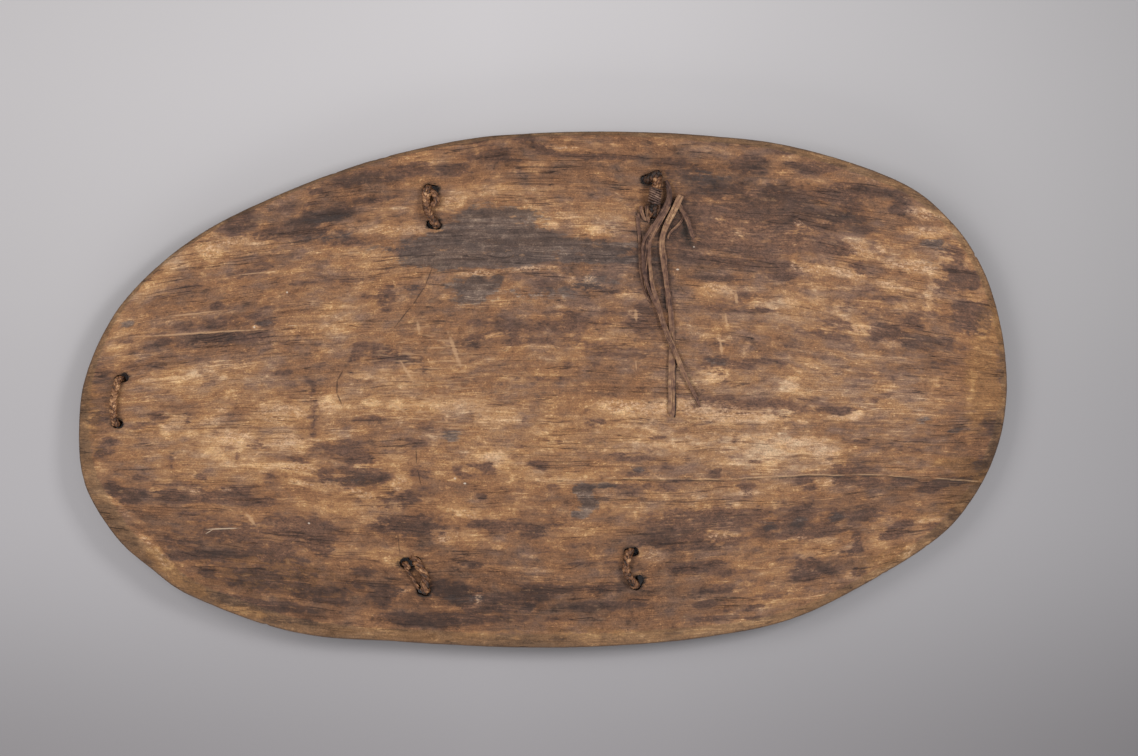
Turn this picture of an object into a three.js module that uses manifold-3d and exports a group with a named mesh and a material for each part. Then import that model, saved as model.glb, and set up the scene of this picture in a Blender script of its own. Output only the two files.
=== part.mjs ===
// Oval wooden war shield, lying on its front so that its back is up.
// One carved board with five pairs of burnt holes. Each pair holds a lashing of bark cord,
// and the torn bark strips of the carrying sling hang from the lashing at the upper right.
// Millimetres, +Z up. The origin is on the floor under the middle of the board, and +X runs along the grain.

import * as THREE from 'three';
import { mergeVertices } from 'three/addons/utils/BufferGeometryUtils.js';
import Module from 'manifold-3d';

const wasm = await Module();
wasm.setup();

// Board
const LENGTH = 1220;
const WIDTH = 678;
const THICKNESS = 16;
const RISE_LONG = 24; // how far the two ends stand above the crown of the front
const RISE_ACROSS = 30; // how far the two long sides stand above it
const FLAT_HALF_LENGTH = 95; // half length of the worn flat spot on the crown
const BEVEL_WIDTH = 20; // worn band along the back's edge
const BEVEL_DROP = 6;
const EDGE_ROUND = 3;

// Lashings
const HOLE_CLEARANCE = 1; // cord to the wall of its hole
const MOUTH_FLARE = 2.5; // how far a burnt hole widens at its mouths
const MOUTH_DEPTH = 3;
const CORD_GAP = 0.5; // cord to the wood that it lies on
const BEND_RATIO = 1.5; // radius of a lashing's bend, in cord radii
const BINDING_LENGTH = 22;
const BINDING_TURNS = 7;
const BINDING_WALL = 2.8; // thickness of the twine wound around the sling's cord
const BINDING_MARGIN = 3.3; // free cord between the binding and each bend
const FIT_GAP = 0.35; // between two pieces that touch

// Bark strips
const STRIP_THICKNESS = 2.4;
const FIBRE_THICKNESS = 1.8;
const REST_GAP = 0.35; // strip to the board under it

// How fine the faces are
const OUTLINE_STEPS = 64;
const BACK_STEPS = [0.16, 0.32, 0.48, 0.64, 0.78, 0.9];
const CORD_SIDES = 8;
const HOLE_SIDES = 16;
const BINDING_SIDES = 12;
const BEND_STEPS = 3;
const RUN_STEPS = 4;

const HALF_LENGTH = LENGTH / 2;
const HALF_WIDTH = WIDTH / 2;

// The outline as shares of the half length and half width, counter-clockwise from the right tip.
// The left end is narrower, and the right end is fuller above than below.
const OUTLINE = [
  [1.0, -0.03],
  [0.987, 0.25],
  [0.943, 0.485],
  [0.876, 0.656],
  [0.775, 0.798],
  [0.527, 0.944],
  [0.318, 0.988],
  [0.11, 1.0],
  [-0.145, 0.975],
  [-0.36, 0.892],
  [-0.565, 0.76],
  [-0.755, 0.585],
  [-0.905, 0.342],
  [-0.985, 0.06],
  [-1.0, -0.157],
  [-0.985, -0.375],
  [-0.91, -0.59],
  [-0.84, -0.698],
  [-0.764, -0.793],
  [-0.525, -0.944],
  [-0.313, -0.977],
  [-0.06, -1.0],
  [0.147, -0.995],
  [0.34, -0.963],
  [0.525, -0.897],
  [0.71, -0.739],
  [0.858, -0.566],
  [0.925, -0.427],
  [0.974, -0.26],
];

// The lashings. at: where the cord comes up through its upper hole, as shares of the half length and half width.
// reach: from there to the lower hole. bulge: how far the cord bows to the right between the holes.
// room_a and room_b: from the cord to the far end of the open space in its upper and lower hole.
const END_LOOP = { at: [-0.911, 0.041], reach: [-4.5, -59], cord: 9.5, bulge: -4, room_a: [7, 1.5], room_b: [4.5, -0.5] };
const UPPER_LEFT = { at: [-0.247, 0.776], reach: [11, -47], cord: 11, bulge: -7, room_a: [7.5, -1], room_b: [-7, 1] };
const LOWER_LEFT = { at: [-0.273, -0.667], reach: [13, -38], cord: 11.5, bulge: 5, room_a: [-15, -2], room_b: [-6, 2] };
const LOWER_RIGHT = { at: [0.185, -0.632], reach: [9, -43], cord: 10.5, bulge: -8, room_a: [7, 1], room_b: [5, 8] };
const SLING = { at: [0.245, 0.8145], lean: -7.4, cord: 11.5, bulge: 0, room_a: [-15, -1], room_b: [-6, -1] };

// The thin second strand of the lower left lashing, from the cord's places in the two holes.
const THIN_STRAND = { cord: 4.4, from_a: [-17, -2], from_b: [-9.5, 4] };

// The bark strips. Each point is [right, up, lift]: millimetres from the place where the sling's cord
// comes up, and how far the strip is lifted off the board there.
const STRIP_LEFT = {
  width: 7,
  points: [
    [11.2, -2.6, 0.5], [15.1, -13.1, 0.5], [16.0, -23.6, 0], [12.5, -34.6, 0], [4.1, -50.4, 0.6],
    [-5.2, -66.2, 0.6], [-12.6, -81.3, 0.3], [-14.2, -99.7, 0.3], [-13.1, -122.0, 0.3], [-9.8, -137.7, 0],
    [-4.2, -153.5, 0], [3.0, -170.5, 0], [7.6, -185.0, 0.8], [11.4, -196.0, 3.1], [15.4, -207.0, 3.3],
    [21.3, -219.0, 3.3], [27.5, -234.8, 2.9], [36.7, -255.8, 0.4], [47.2, -276.8, 0], [57.7, -299.1, 0],
  ],
};
const STRIP_RIGHT = {
  width: 8.6,
  points: [
    [31.5, -22.3, 6.2], [25.6, -34.1, 5.4], [17.9, -49.8, 2.6], [10.3, -65.6, 0.6], [6.2, -80.0, 0],
    [6.4, -95.8, 0], [9.2, -114.1, 0.4], [12.2, -132.5, 0.4], [15.3, -150.9, 0], [17.8, -167.9, 0],
    [19.4, -185.0, 0], [20.3, -202.0, 0], [20.4, -219.1, 0], [20.3, -237.4, 0], [20.2, -257.1, 0],
    [20.2, -276.8, 0], [20.2, -295.2, 0], [20.1, -312.9, 0],
  ],
};
const STRIP_SHORT = {
  width: 4.6,
  points: [
    [23.6, -25.6, 0], [27.6, -31.2, 0], [32.8, -39.4, 0.8], [36.6, -46.4, 2.6], [39.4, -53.4, 4.2],
    [42.4, -62.0, 5.2], [45.0, -70.6, 6.2], [47.2, -78.7, 7.0],
  ],
};
const FIBRE_LEFT = {
  width: 4.2,
  points: [
    [-24.7, -44.6, 0.8], [-24.7, -55.1, 0.4], [-23.2, -66.9, 0], [-22.0, -80.0, 0], [-21.6, -95.8, 0],
    [-21.4, -110.2, 0], [-20.2, -123.3, 0], [-17.4, -137.7, 0], [-12.4, -152.2, 0], [-8.2, -162.7, 0],
  ],
};
const FIBRE_CROSS = {
  width: 2.8,
  points: [
    [35.4, -48.5, 0], [31.5, -55.8, 0], [24.3, -63.6, 0], [18.3, -69.2, 0], [15.4, -74.2, 0], [14.4, -79.0, 0],
  ],
};

// The strip ends tucked under the binding, in the same way as the strips.
const TUCKED_END_WIDTH = 3.6;
const TUCKED_ENDS = [
  [[-21.9, -36.0, 4.5], [-20.6, -44.0, 2.8], [-19.4, -50.0, 0.6], [-18.2, -55.5, 0.2]],
  [[-16.9, -35.4, 4.5], [-15.6, -43.6, 3.0], [-14.2, -50.6, 1.0], [-13.0, -57.0, 0.2]],
];

const woodMaterial = new THREE.MeshStandardMaterial({ color: 0x7d5f42, roughness: 0.75, metalness: 0 });
const cordMaterial = new THREE.MeshStandardMaterial({ color: 0x6a4c34, roughness: 0.9, metalness: 0 });
const twineMaterial = new THREE.MeshStandardMaterial({ color: 0x6f5a4b, roughness: 0.9, metalness: 0 });
const barkMaterial = new THREE.MeshStandardMaterial({ color: 0x7a5c46, roughness: 0.85, metalness: 0 });

// Height of the board's front, which is gently rounded with a flat spot on its crown.
const crownDrop = RISE_LONG * (FLAT_HALF_LENGTH / HALF_LENGTH) ** 2;
function frontHeight(x, y) {
  const rounded = RISE_LONG * (x / HALF_LENGTH) ** 2 + RISE_ACROSS * (y / HALF_WIDTH) ** 2;
  return Math.max(0, rounded - crownDrop);
}

// Height of the board's hollowed back.
function backHeight(x, y) {
  return frontHeight(x, y) + THICKNESS;
}

// A place given as shares of the half length and half width.
function placeOnBoard([alongShare, acrossShare]) {
  return new THREE.Vector2(alongShare * HALF_LENGTH, acrossShare * HALF_WIDTH);
}

// A closed surface from rings of points, each with as many points as the next.
// Closed: the last ring joins the first. Otherwise each end gets a flat or pointed lid around its middle point.
function loft(rings, { closed = false } = {}) {
  const sides = rings[0].length;
  const positions = rings.flat().flatMap((point) => point.toArray());
  const faces = [];
  const bands = closed ? rings.length : rings.length - 1;
  for (let ring = 0; ring < bands; ring += 1) {
    const next = (ring + 1) % rings.length;
    for (let side = 0; side < sides; side += 1) {
      const across = (side + 1) % sides;
      const [a, b] = [ring * sides + side, ring * sides + across];
      const [c, d] = [next * sides + side, next * sides + across];
      faces.push(a, b, d, a, d, c);
    }
  }
  if (!closed) {
    const addLid = (ring, turned) => {
      const middle = new THREE.Vector3();
      rings[ring].forEach((point) => middle.add(point));
      middle.divideScalar(sides);
      const centre = positions.length / 3;
      positions.push(...middle.toArray());
      for (let side = 0; side < sides; side += 1) {
        const a = ring * sides + side;
        const b = ring * sides + ((side + 1) % sides);
        faces.push(...(turned ? [centre, b, a] : [centre, a, b]));
      }
    };
    addLid(0, true);
    addLid(rings.length - 1, false);
  }
  const geometry = new THREE.BufferGeometry();
  geometry.setAttribute('position', new THREE.Float32BufferAttribute(positions, 3));
  geometry.setIndex(faces);
  return geometry;
}

function toSolid(geometry) {
  const merged = mergeVertices(geometry, 1e-4);
  return new wasm.Manifold(new wasm.Mesh({
    numProp: 3,
    vertProperties: new Float32Array(merged.attributes.position.array),
    triVerts: new Uint32Array(merged.index.array),
  }));
}

function toGeometry(solid) {
  const mesh = solid.getMesh();
  const geometry = new THREE.BufferGeometry();
  geometry.setAttribute('position', new THREE.BufferAttribute(mesh.vertProperties, 3));
  geometry.setIndex(new THREE.BufferAttribute(mesh.triVerts, 1));
  return geometry;
}

// The outline, sampled evenly and fitted to the board's length and width.
function outlinePoints() {
  const curve = new THREE.CatmullRomCurve3(OUTLINE.map(([x, y]) => new THREE.Vector3(x, y, 0)), true, 'centripetal');
  const points = curve.getSpacedPoints(OUTLINE_STEPS).slice(0, OUTLINE_STEPS);
  const box = new THREE.Box3().setFromPoints(points);
  const middle = box.getCenter(new THREE.Vector3());
  const size = box.getSize(new THREE.Vector3());
  return points.map((point) => new THREE.Vector2(
    ((point.x - middle.x) / size.x) * LENGTH,
    ((point.y - middle.y) / size.y) * WIDTH,
  ));
}

// The board without its holes: rings from the middle of the front, around the edge, to the middle of the back.
function boardBlank() {
  const outline = outlinePoints();
  const flatHalfWidth = HALF_WIDTH * Math.sqrt(crownDrop / RISE_ACROSS);
  const flatSpot = outline.map((point) => {
    const angle = Math.atan2(point.y / HALF_WIDTH, point.x / HALF_LENGTH);
    return new THREE.Vector2(FLAT_HALF_LENGTH * Math.cos(angle), flatHalfWidth * Math.sin(angle));
  });
  const between = (share) => outline.map((point, i) => flatSpot[i].clone().lerp(point, share));
  const inset = (distance) => outline.map((point) => point.clone().setLength(point.length() - distance));
  const raise = (points, height) => points.map((point) => new THREE.Vector3(point.x, point.y, height(point.x, point.y)));
  const edgeHeight = (x, y) => frontHeight(x, y) + (THICKNESS - BEVEL_DROP) / 2;
  const bevelHeight = (x, y) => backHeight(x, y) - BEVEL_DROP;
  const front = [flatSpot, ...BACK_STEPS.map(between)].map((points) => raise(points, frontHeight));
  const back = [flatSpot, ...BACK_STEPS.map(between)].map((points) => raise(points, backHeight));
  return loft([
    ...front,
    raise(inset(EDGE_ROUND), frontHeight),
    raise(outline, edgeHeight),
    raise(inset(EDGE_ROUND), bevelHeight),
    raise(inset(BEVEL_WIDTH), backHeight),
    ...back.reverse(),
  ]);
}

// A burnt hole: a slot that holds the cord at one end and reaches to the end of its open space,
// and widens at both mouths.
function holeCutter(cordPlace, room, cordDiameter) {
  const radius = cordDiameter / 2 + HOLE_CLEARANCE;
  const far = new THREE.Vector2(...room);
  const heading = far.angle();
  const ring = (grow, height) => {
    const points = [];
    for (let side = 0; side < HOLE_SIDES; side += 1) {
      const turn = ((side + 0.5) / HOLE_SIDES) * 2 * Math.PI;
      const end = Math.cos(turn) > 0 ? far : new THREE.Vector2();
      points.push(new THREE.Vector3(
        cordPlace.x + end.x + (radius + grow) * Math.cos(turn + heading),
        cordPlace.y + end.y + (radius + grow) * Math.sin(turn + heading),
        height,
      ));
    }
    return points;
  };
  const front = frontHeight(cordPlace.x, cordPlace.y);
  const back = backHeight(cordPlace.x, cordPlace.y);
  return loft([
    ring(2 * MOUTH_FLARE, front - MOUTH_DEPTH),
    ring(0, front + MOUTH_DEPTH),
    ring(0, back - MOUTH_DEPTH),
    ring(2 * MOUTH_FLARE, back + MOUTH_DEPTH),
  ]);
}

// A round or flat section swept along a path. side: a direction that is roughly across the path.
function sweep(path, { side, halfWidth, halfHeight, closed = false, sides = CORD_SIDES }) {
  const rings = path.map((point, i) => {
    const before = path[closed ? (i - 1 + path.length) % path.length : Math.max(i - 1, 0)];
    const after = path[closed ? (i + 1) % path.length : Math.min(i + 1, path.length - 1)];
    const along = after.clone().sub(before).normalize();
    const across = side(along).projectOnPlane(along).normalize();
    const up = across.clone().cross(along).normalize();
    const ring = [];
    for (let k = 0; k < sides; k += 1) {
      const turn = ((k + 0.5) / sides) * 2 * Math.PI;
      ring.push(point.clone()
        .addScaledVector(across, -halfWidth * Math.cos(turn))
        .addScaledVector(up, halfHeight * Math.sin(turn)));
    }
    return ring;
  });
  return loft(rings, { closed });
}

// The four places of a lashing's cord and the radius of its bends.
function lashingLayout(lashing, lift = lashing.cord / 2 + CORD_GAP) {
  const radius = lashing.cord / 2;
  const upper = placeOnBoard(lashing.at);
  const lower = upper.clone().add(new THREE.Vector2(...lashing.reach));
  return { radius, upper, lower, lift, bend: BEND_RATIO * radius, bulge: lashing.bulge };
}

// The cord's path: over the back from the upper to the lower hole, down, along the front, and up again.
function lashingPath({ radius, upper, lower, lift, bend, bulge }) {
  const run = lower.clone().sub(upper);
  const distance = run.length();
  const across = new THREE.Vector2(-run.y, run.x).normalize();
  const stations = [];
  for (let step = 0; step <= BEND_STEPS; step += 1) {
    const turn = (step / BEND_STEPS) * (Math.PI / 2);
    stations.push([bend * (1 - Math.cos(turn)), bend * (1 - Math.sin(turn))]);
  }
  for (let step = 1; step < RUN_STEPS; step += 1) {
    stations.push([bend + (distance - 2 * bend) * (step / RUN_STEPS), 0]);
  }
  for (let step = BEND_STEPS; step >= 0; step -= 1) {
    const turn = (step / BEND_STEPS) * (Math.PI / 2);
    stations.push([distance - bend * (1 - Math.cos(turn)), bend * (1 - Math.sin(turn))]);
  }
  const overBack = stations.map(([along, drop]) => {
    const share = along / distance;
    const place = upper.clone().addScaledVector(run, share).addScaledVector(across, bulge * Math.sin(share * Math.PI));
    const height = THREE.MathUtils.lerp(backHeight(upper.x, upper.y), backHeight(lower.x, lower.y), share);
    return new THREE.Vector3(place.x, place.y, height + lift - drop);
  });
  const overFront = stations.map(([along, drop]) => {
    const share = 1 - along / distance;
    const place = upper.clone().addScaledVector(run, share);
    const height = THREE.MathUtils.lerp(frontHeight(upper.x, upper.y), frontHeight(lower.x, lower.y), share);
    return new THREE.Vector3(place.x, place.y, height - radius - CORD_GAP + drop);
  });
  return [...overBack, ...overFront];
}

function lashingCord(layout) {
  const run = layout.lower.clone().sub(layout.upper);
  const across = new THREE.Vector3(-run.y, run.x, 0);
  return sweep(lashingPath(layout), {
    side: () => across.clone(),
    halfWidth: layout.radius,
    halfHeight: layout.radius,
    closed: true,
  });
}

// The twine wound around the sling's cord: a ribbed sleeve.
function bindingSleeve(layout) {
  const bore = layout.radius + FIT_GAP;
  const pitch = BINDING_LENGTH / BINDING_TURNS;
  const profile = [new THREE.Vector2(bore, 0)];
  for (let turn = 0; turn < BINDING_TURNS; turn += 1) {
    profile.push(new THREE.Vector2(bore + BINDING_WALL * 0.72, pitch * (turn + 0.06)));
    profile.push(new THREE.Vector2(bore + BINDING_WALL, pitch * (turn + 0.35)));
    profile.push(new THREE.Vector2(bore + BINDING_WALL, pitch * (turn + 0.65)));
    profile.push(new THREE.Vector2(bore + BINDING_WALL * 0.72, pitch * (turn + 0.94)));
  }
  profile.push(new THREE.Vector2(bore, BINDING_LENGTH));
  profile.push(new THREE.Vector2(bore, 0));
  return new THREE.LatheGeometry(profile, BINDING_SIDES);
}

// A flat strip lying along the board's back.
function barkStrip({ points, width, thickness }, anchor) {
  const path = points.map(([right, up, lift]) => {
    const [x, y] = [anchor.x + right, anchor.y + up];
    return new THREE.Vector3(x, y, backHeight(x, y) + thickness / 2 + REST_GAP + lift);
  });
  const vertical = new THREE.Vector3(0, 0, 1);
  return sweep(path, {
    side: (along) => along.clone().cross(vertical),
    halfWidth: width / 2,
    halfHeight: thickness / 2,
  });
}

const shield = new THREE.Group();

function addPiece(name, geometry, material) {
  const mesh = new THREE.Mesh(geometry, material);
  mesh.name = name;
  shield.add(mesh);
  return mesh;
}

// The sling's cord stands off the board by its binding, and its holes are as far apart as the binding needs.
const slingReach = BINDING_LENGTH + 2 * (BINDING_MARGIN + BEND_RATIO * (SLING.cord / 2));
const slingLean = THREE.MathUtils.degToRad(SLING.lean);
SLING.reach = [slingReach * Math.sin(slingLean), -slingReach * Math.cos(slingLean)];
const slingLift = SLING.cord / 2 + FIT_GAP + BINDING_WALL + CORD_GAP;

const layouts = {
  end_loop: lashingLayout(END_LOOP),
  upper_left_lashing: lashingLayout(UPPER_LEFT),
  lower_left_lashing: lashingLayout(LOWER_LEFT),
  lower_right_lashing: lashingLayout(LOWER_RIGHT),
  sling_lashing: lashingLayout(SLING, slingLift),
};

// The board, with a pair of holes for each lashing
const lashings = [END_LOOP, UPPER_LEFT, LOWER_LEFT, LOWER_RIGHT, SLING];
let board = toSolid(boardBlank());
lashings.forEach((lashing) => {
  const { upper, lower } = lashingLayout(lashing);
  board = board.subtract(toSolid(holeCutter(upper, lashing.room_a, lashing.cord)));
  board = board.subtract(toSolid(holeCutter(lower, lashing.room_b, lashing.cord)));
});
addPiece('board', toGeometry(board), woodMaterial);

// The lashings, and the thin second strand of the lower left one
Object.entries(layouts).forEach(([name, layout]) => addPiece(name, lashingCord(layout), cordMaterial));
const thinRadius = THIN_STRAND.cord / 2;
addPiece('lower_left_strand', lashingCord({
  radius: thinRadius,
  upper: layouts.lower_left_lashing.upper.clone().add(new THREE.Vector2(...THIN_STRAND.from_a)),
  lower: layouts.lower_left_lashing.lower.clone().add(new THREE.Vector2(...THIN_STRAND.from_b)),
  lift: thinRadius + CORD_GAP,
  bend: BEND_RATIO * thinRadius,
  bulge: 0,
}), cordMaterial);

// The sling's binding, in the middle of the cord's run over the back
const sling = layouts.sling_lashing;
const runStart = new THREE.Vector3(sling.upper.x, sling.upper.y, backHeight(sling.upper.x, sling.upper.y) + slingLift);
const runEnd = new THREE.Vector3(sling.lower.x, sling.lower.y, backHeight(sling.lower.x, sling.lower.y) + slingLift);
const runHeading = runEnd.clone().sub(runStart).normalize();
const binding = addPiece('sling_binding', bindingSleeve(sling), twineMaterial);
binding.position.copy(runStart).lerp(runEnd, 0.5).addScaledVector(runHeading, -BINDING_LENGTH / 2);
binding.quaternion.setFromUnitVectors(new THREE.Vector3(0, 1, 0), runHeading);

// The torn strips of the sling
const anchor = sling.upper;
const strips = {
  sling_strip_left: { ...STRIP_LEFT, thickness: STRIP_THICKNESS },
  sling_strip_right: { ...STRIP_RIGHT, thickness: STRIP_THICKNESS },
  sling_strip_short: { ...STRIP_SHORT, thickness: FIBRE_THICKNESS },
  sling_fibre_left: { ...FIBRE_LEFT, thickness: FIBRE_THICKNESS },
  sling_fibre_cross: { ...FIBRE_CROSS, thickness: FIBRE_THICKNESS },
};
Object.entries(strips).forEach(([name, strip]) => addPiece(name, barkStrip(strip, anchor), barkMaterial));
TUCKED_ENDS.forEach((points, i) => {
  const strip = { points, width: TUCKED_END_WIDTH, thickness: FIBRE_THICKNESS };
  addPiece(`tucked_end_${i + 1}`, barkStrip(strip, anchor), barkMaterial);
});

export default shield;
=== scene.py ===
# %% [markdown]
# This lesson finishes an oval wooden war shield that lies on its front, seen from above. A rigid frame
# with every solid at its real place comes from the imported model, and each step below swaps one of those
# plain solids for a modelled piece of the same size. Everything is in metres, in the frame's own place.

# %% Load the fixed frame
import math

import bmesh
import bpy
import numpy as np
from mathutils.kdtree import KDTree
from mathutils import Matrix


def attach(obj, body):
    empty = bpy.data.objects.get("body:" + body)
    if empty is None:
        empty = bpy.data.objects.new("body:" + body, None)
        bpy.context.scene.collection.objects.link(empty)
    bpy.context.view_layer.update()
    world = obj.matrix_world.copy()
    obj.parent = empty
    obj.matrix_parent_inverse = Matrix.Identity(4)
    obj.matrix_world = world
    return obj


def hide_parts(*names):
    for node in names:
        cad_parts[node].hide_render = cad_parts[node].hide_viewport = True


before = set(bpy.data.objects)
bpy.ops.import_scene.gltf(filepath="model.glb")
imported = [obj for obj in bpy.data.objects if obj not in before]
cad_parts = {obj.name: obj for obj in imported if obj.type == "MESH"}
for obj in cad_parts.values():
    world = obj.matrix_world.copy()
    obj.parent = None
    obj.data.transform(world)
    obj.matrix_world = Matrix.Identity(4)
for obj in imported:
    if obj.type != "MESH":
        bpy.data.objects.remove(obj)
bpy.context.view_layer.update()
MM = 0.001
print("nodes", sorted(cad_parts))

# %% [markdown]
# The shield was photographed square on to its back. It is rebuilt as it lies when loose, front down,
# so the camera hangs straight above it. A long lens from 2.6 m keeps the hollow back nearly free of
# perspective, and "Standard" colour keeps the wood's colours as they are mixed.

# %% Camera straight above the shield
VIEW_CENTRE = (34.1 * MM, 15.1 * MM)
CAMERA_HEIGHT = 2.63
LENS = 62.6  # millimetres, on a sensor 36 mm wide
bpy.ops.object.select_all(action="DESELECT")
bpy.ops.object.camera_add(location=(*VIEW_CENTRE, CAMERA_HEIGHT), rotation=(0, 0, 0))
camera = bpy.context.object
camera.name = "camera_above"
camera.data.sensor_width = 36
camera.data.lens = LENS
camera.data.clip_end = 30
bpy.context.scene.camera = camera
bpy.context.scene.view_settings.view_transform = "Standard"
print("camera", camera.location)

# %% [markdown]
# Two soft lights stand left and right of the shield, as in a museum's studio. A wide one far off in
# front and a weak sky fill the shadows. None is strong enough alone to draw a hard shadow, so the rim
# only darkens the floor beside it a little.

# %% Studio lights
SOFTBOXES = {  # where it stands and its two sides, in metres, its power in watts, and its colour
    "softbox_left": ((-1.3, 0.45, 1.8), (1.4, 1.1), 22.2, (1.0, 0.99, 0.98)),
    "softbox_right": ((1.3, 0.4, 1.6), (0.7, 0.6), 19.6, (0.99, 0.995, 1.0)),
    "softbox_front": ((-0.5, -3.2, 1.3), (4.0, 1.2), 48, (1.0, 1.0, 1.0)),
}
SKY_COLOUR = (0.97, 0.97, 1.0, 1)
SKY_STRENGTH = 0.385
for name, (stand, size, power, light_colour) in SOFTBOXES.items():
    bpy.ops.object.light_add(type="AREA", location=stand)
    lamp = bpy.context.object
    lamp.name = name
    lamp.data.shape = "RECTANGLE"
    lamp.data.size, lamp.data.size_y = size
    lamp.data.energy = power
    lamp.data.color = light_colour
    lamp.rotation_euler = (-lamp.location).to_track_quat("-Z", "Y").to_euler()
world = bpy.data.worlds.new("studio_air")
bpy.context.scene.world = world
world.use_nodes = True
sky = world.node_tree.nodes["Background"]
sky.inputs["Color"].default_value = SKY_COLOUR
sky.inputs["Strength"].default_value = SKY_STRENGTH

# %% [markdown]
# Materials are built from nodes. Two helpers are enough: one turns the hex colours that a maker would
# note down into the linear numbers that Blender mixes, and one adds a node with its settings and links.

# %% Helpers for materials


def linear(hex_colour):
    """An sRGB hex colour as linear red, green, blue and alpha."""
    channels = [int(hex_colour[i:i + 2], 16) / 255 for i in (1, 3, 5)]
    return tuple(c / 12.92 if c <= 0.04045 else ((c + 0.055) / 1.055) ** 2.4 for c in channels) + (1.0,)


def add_node(tree, kind, inputs=None, **settings):
    """A shader node of this kind. An input is a number, a colour, a socket or a node's first output."""
    node = tree.nodes.new("ShaderNode" + kind)
    for setting, value in settings.items():
        setattr(node, setting, value)
    for socket, value in (inputs or {}).items():
        if isinstance(value, bpy.types.Node):
            value = value.outputs[0]
        if isinstance(value, bpy.types.NodeSocket):
            tree.links.new(value, node.inputs[socket])
        else:
            node.inputs[socket].default_value = value
    return node


def new_material(name):
    """A material with its node tree and its shader."""
    material = bpy.data.materials.new(name)
    material.use_nodes = True
    return material, material.node_tree, material.node_tree.nodes["Principled BSDF"]


def set_ramp(ramp, stops):
    """Fills a colour ramp node with (position, hex colour) stops."""
    elements = ramp.color_ramp.elements
    while len(elements) < len(stops):
        elements.new(1.0)
    for element, (position, colour) in zip(elements, stops):
        element.position = position
        element.color = linear(colour)


# %% [markdown]
# The floor is a roll of pale grey studio paper. Shade is painted on to it: it is a little darker
# towards the near side, as if less light reached it there, and towards both ends, most at the right.
# Well outside the view it is pale again, so that the shield stands on a plain pale floor from any side.

# %% Studio paper, with painted shade
PAPER_SIZE = 24
PAPER_DROP = 0.3 * MM  # a gap below the shield, so that the two never share a plane
PAPER_REACH = 3.0  # the shades run from this far on one side of the shield to this far on the other
# the paper's painted shade, from near to far and from left to right
PAINTED_SHADE_NEAR_TO_FAR = [(0.05, "#c6c3c4"), (0.36, "#928e90"), (0.4, "#928e90"), (0.43, "#989597"), (0.464, "#b7b4b6"),
               (0.49, "#b6b3b5"), (0.52, "#bdbabb"), (0.57, "#c6c3c4")]
PAINTED_SHADE_LEFT_TO_RIGHT = [(0.367, "#ececec"), (0.487, "#ffffff"), (0.527, "#f8f8f8"), (0.633, "#cdcdcd"),
                 (0.95, "#ffffff")]
bpy.ops.object.select_all(action="DESELECT")
bpy.ops.mesh.primitive_plane_add(size=PAPER_SIZE, location=(0, 0, -PAPER_DROP))
bpy.ops.object.transform_apply(location=True)
paper = bpy.context.object
paper.name = "studio_paper"
paper_material, tree, shader = new_material("studio_paper_with_painted_shade")
coordinates = add_node(tree, "TexCoord")
place = add_node(tree, "SeparateXYZ", {0: coordinates.outputs["Object"]})
shades = []
for axis, stops in (("Y", PAINTED_SHADE_NEAR_TO_FAR), ("X", PAINTED_SHADE_LEFT_TO_RIGHT)):
    share = add_node(tree, "MapRange", {0: place.outputs[axis], 1: -PAPER_REACH, 2: PAPER_REACH})
    shades.append(add_node(tree, "ValToRGB", {0: share}))
    set_ramp(shades[-1], stops)
shades[0].color_ramp.interpolation = "B_SPLINE"
shade = add_node(tree, "Mix", {0: 1.0, 6: shades[0], 7: shades[1]}, data_type="RGBA", blend_type="MULTIPLY")
tree.links.new(shade.outputs[2], shader.inputs["Base Color"])
shader.inputs["Roughness"].default_value = 0.9
paper.data.materials.append(paper_material)
print("floor", paper.dimensions)

# %% [markdown]
# The board is 1220 mm long, 678 mm wide and 16 mm thick, and dished: its long sides and its ends rise
# away from the flat spot that it lies on. Everything on its back is placed with this height, and its
# outline is one smooth closed curve through the places below, narrower at the left end.

# %% The board's sizes, heights and outline
HALF_LENGTH = 610 * MM
HALF_WIDTH = 339 * MM
THICKNESS = 16 * MM
RISE_LONG = 24 * MM
RISE_ACROSS = 30 * MM
FLAT_HALF_LENGTH = 95 * MM
CROWN_DROP = RISE_LONG * (FLAT_HALF_LENGTH / HALF_LENGTH) ** 2
OUTLINE = [
    (1.0, -0.03), (0.987, 0.25), (0.943, 0.485), (0.876, 0.656), (0.775, 0.798), (0.527, 0.944),
    (0.318, 0.988), (0.11, 1.0), (-0.145, 0.975), (-0.36, 0.892), (-0.565, 0.76), (-0.755, 0.585),
    (-0.905, 0.342), (-0.985, 0.06), (-1.0, -0.157), (-0.985, -0.375), (-0.91, -0.59), (-0.84, -0.698),
    (-0.764, -0.793), (-0.525, -0.944), (-0.313, -0.977), (-0.06, -1.0), (0.147, -0.995),
    (0.34, -0.963), (0.525, -0.897), (0.71, -0.739), (0.858, -0.566), (0.925, -0.427), (0.974, -0.26),
]


def front_height(x, y):
    """Height of the rounded front above the floor."""
    rounded = RISE_LONG * (x / HALF_LENGTH) ** 2 + RISE_ACROSS * (y / HALF_WIDTH) ** 2
    return np.maximum(0.0, rounded - CROWN_DROP)


def back_height(x, y):
    """Height of the hollowed back above the floor."""
    return front_height(x, y) + THICKNESS


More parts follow.
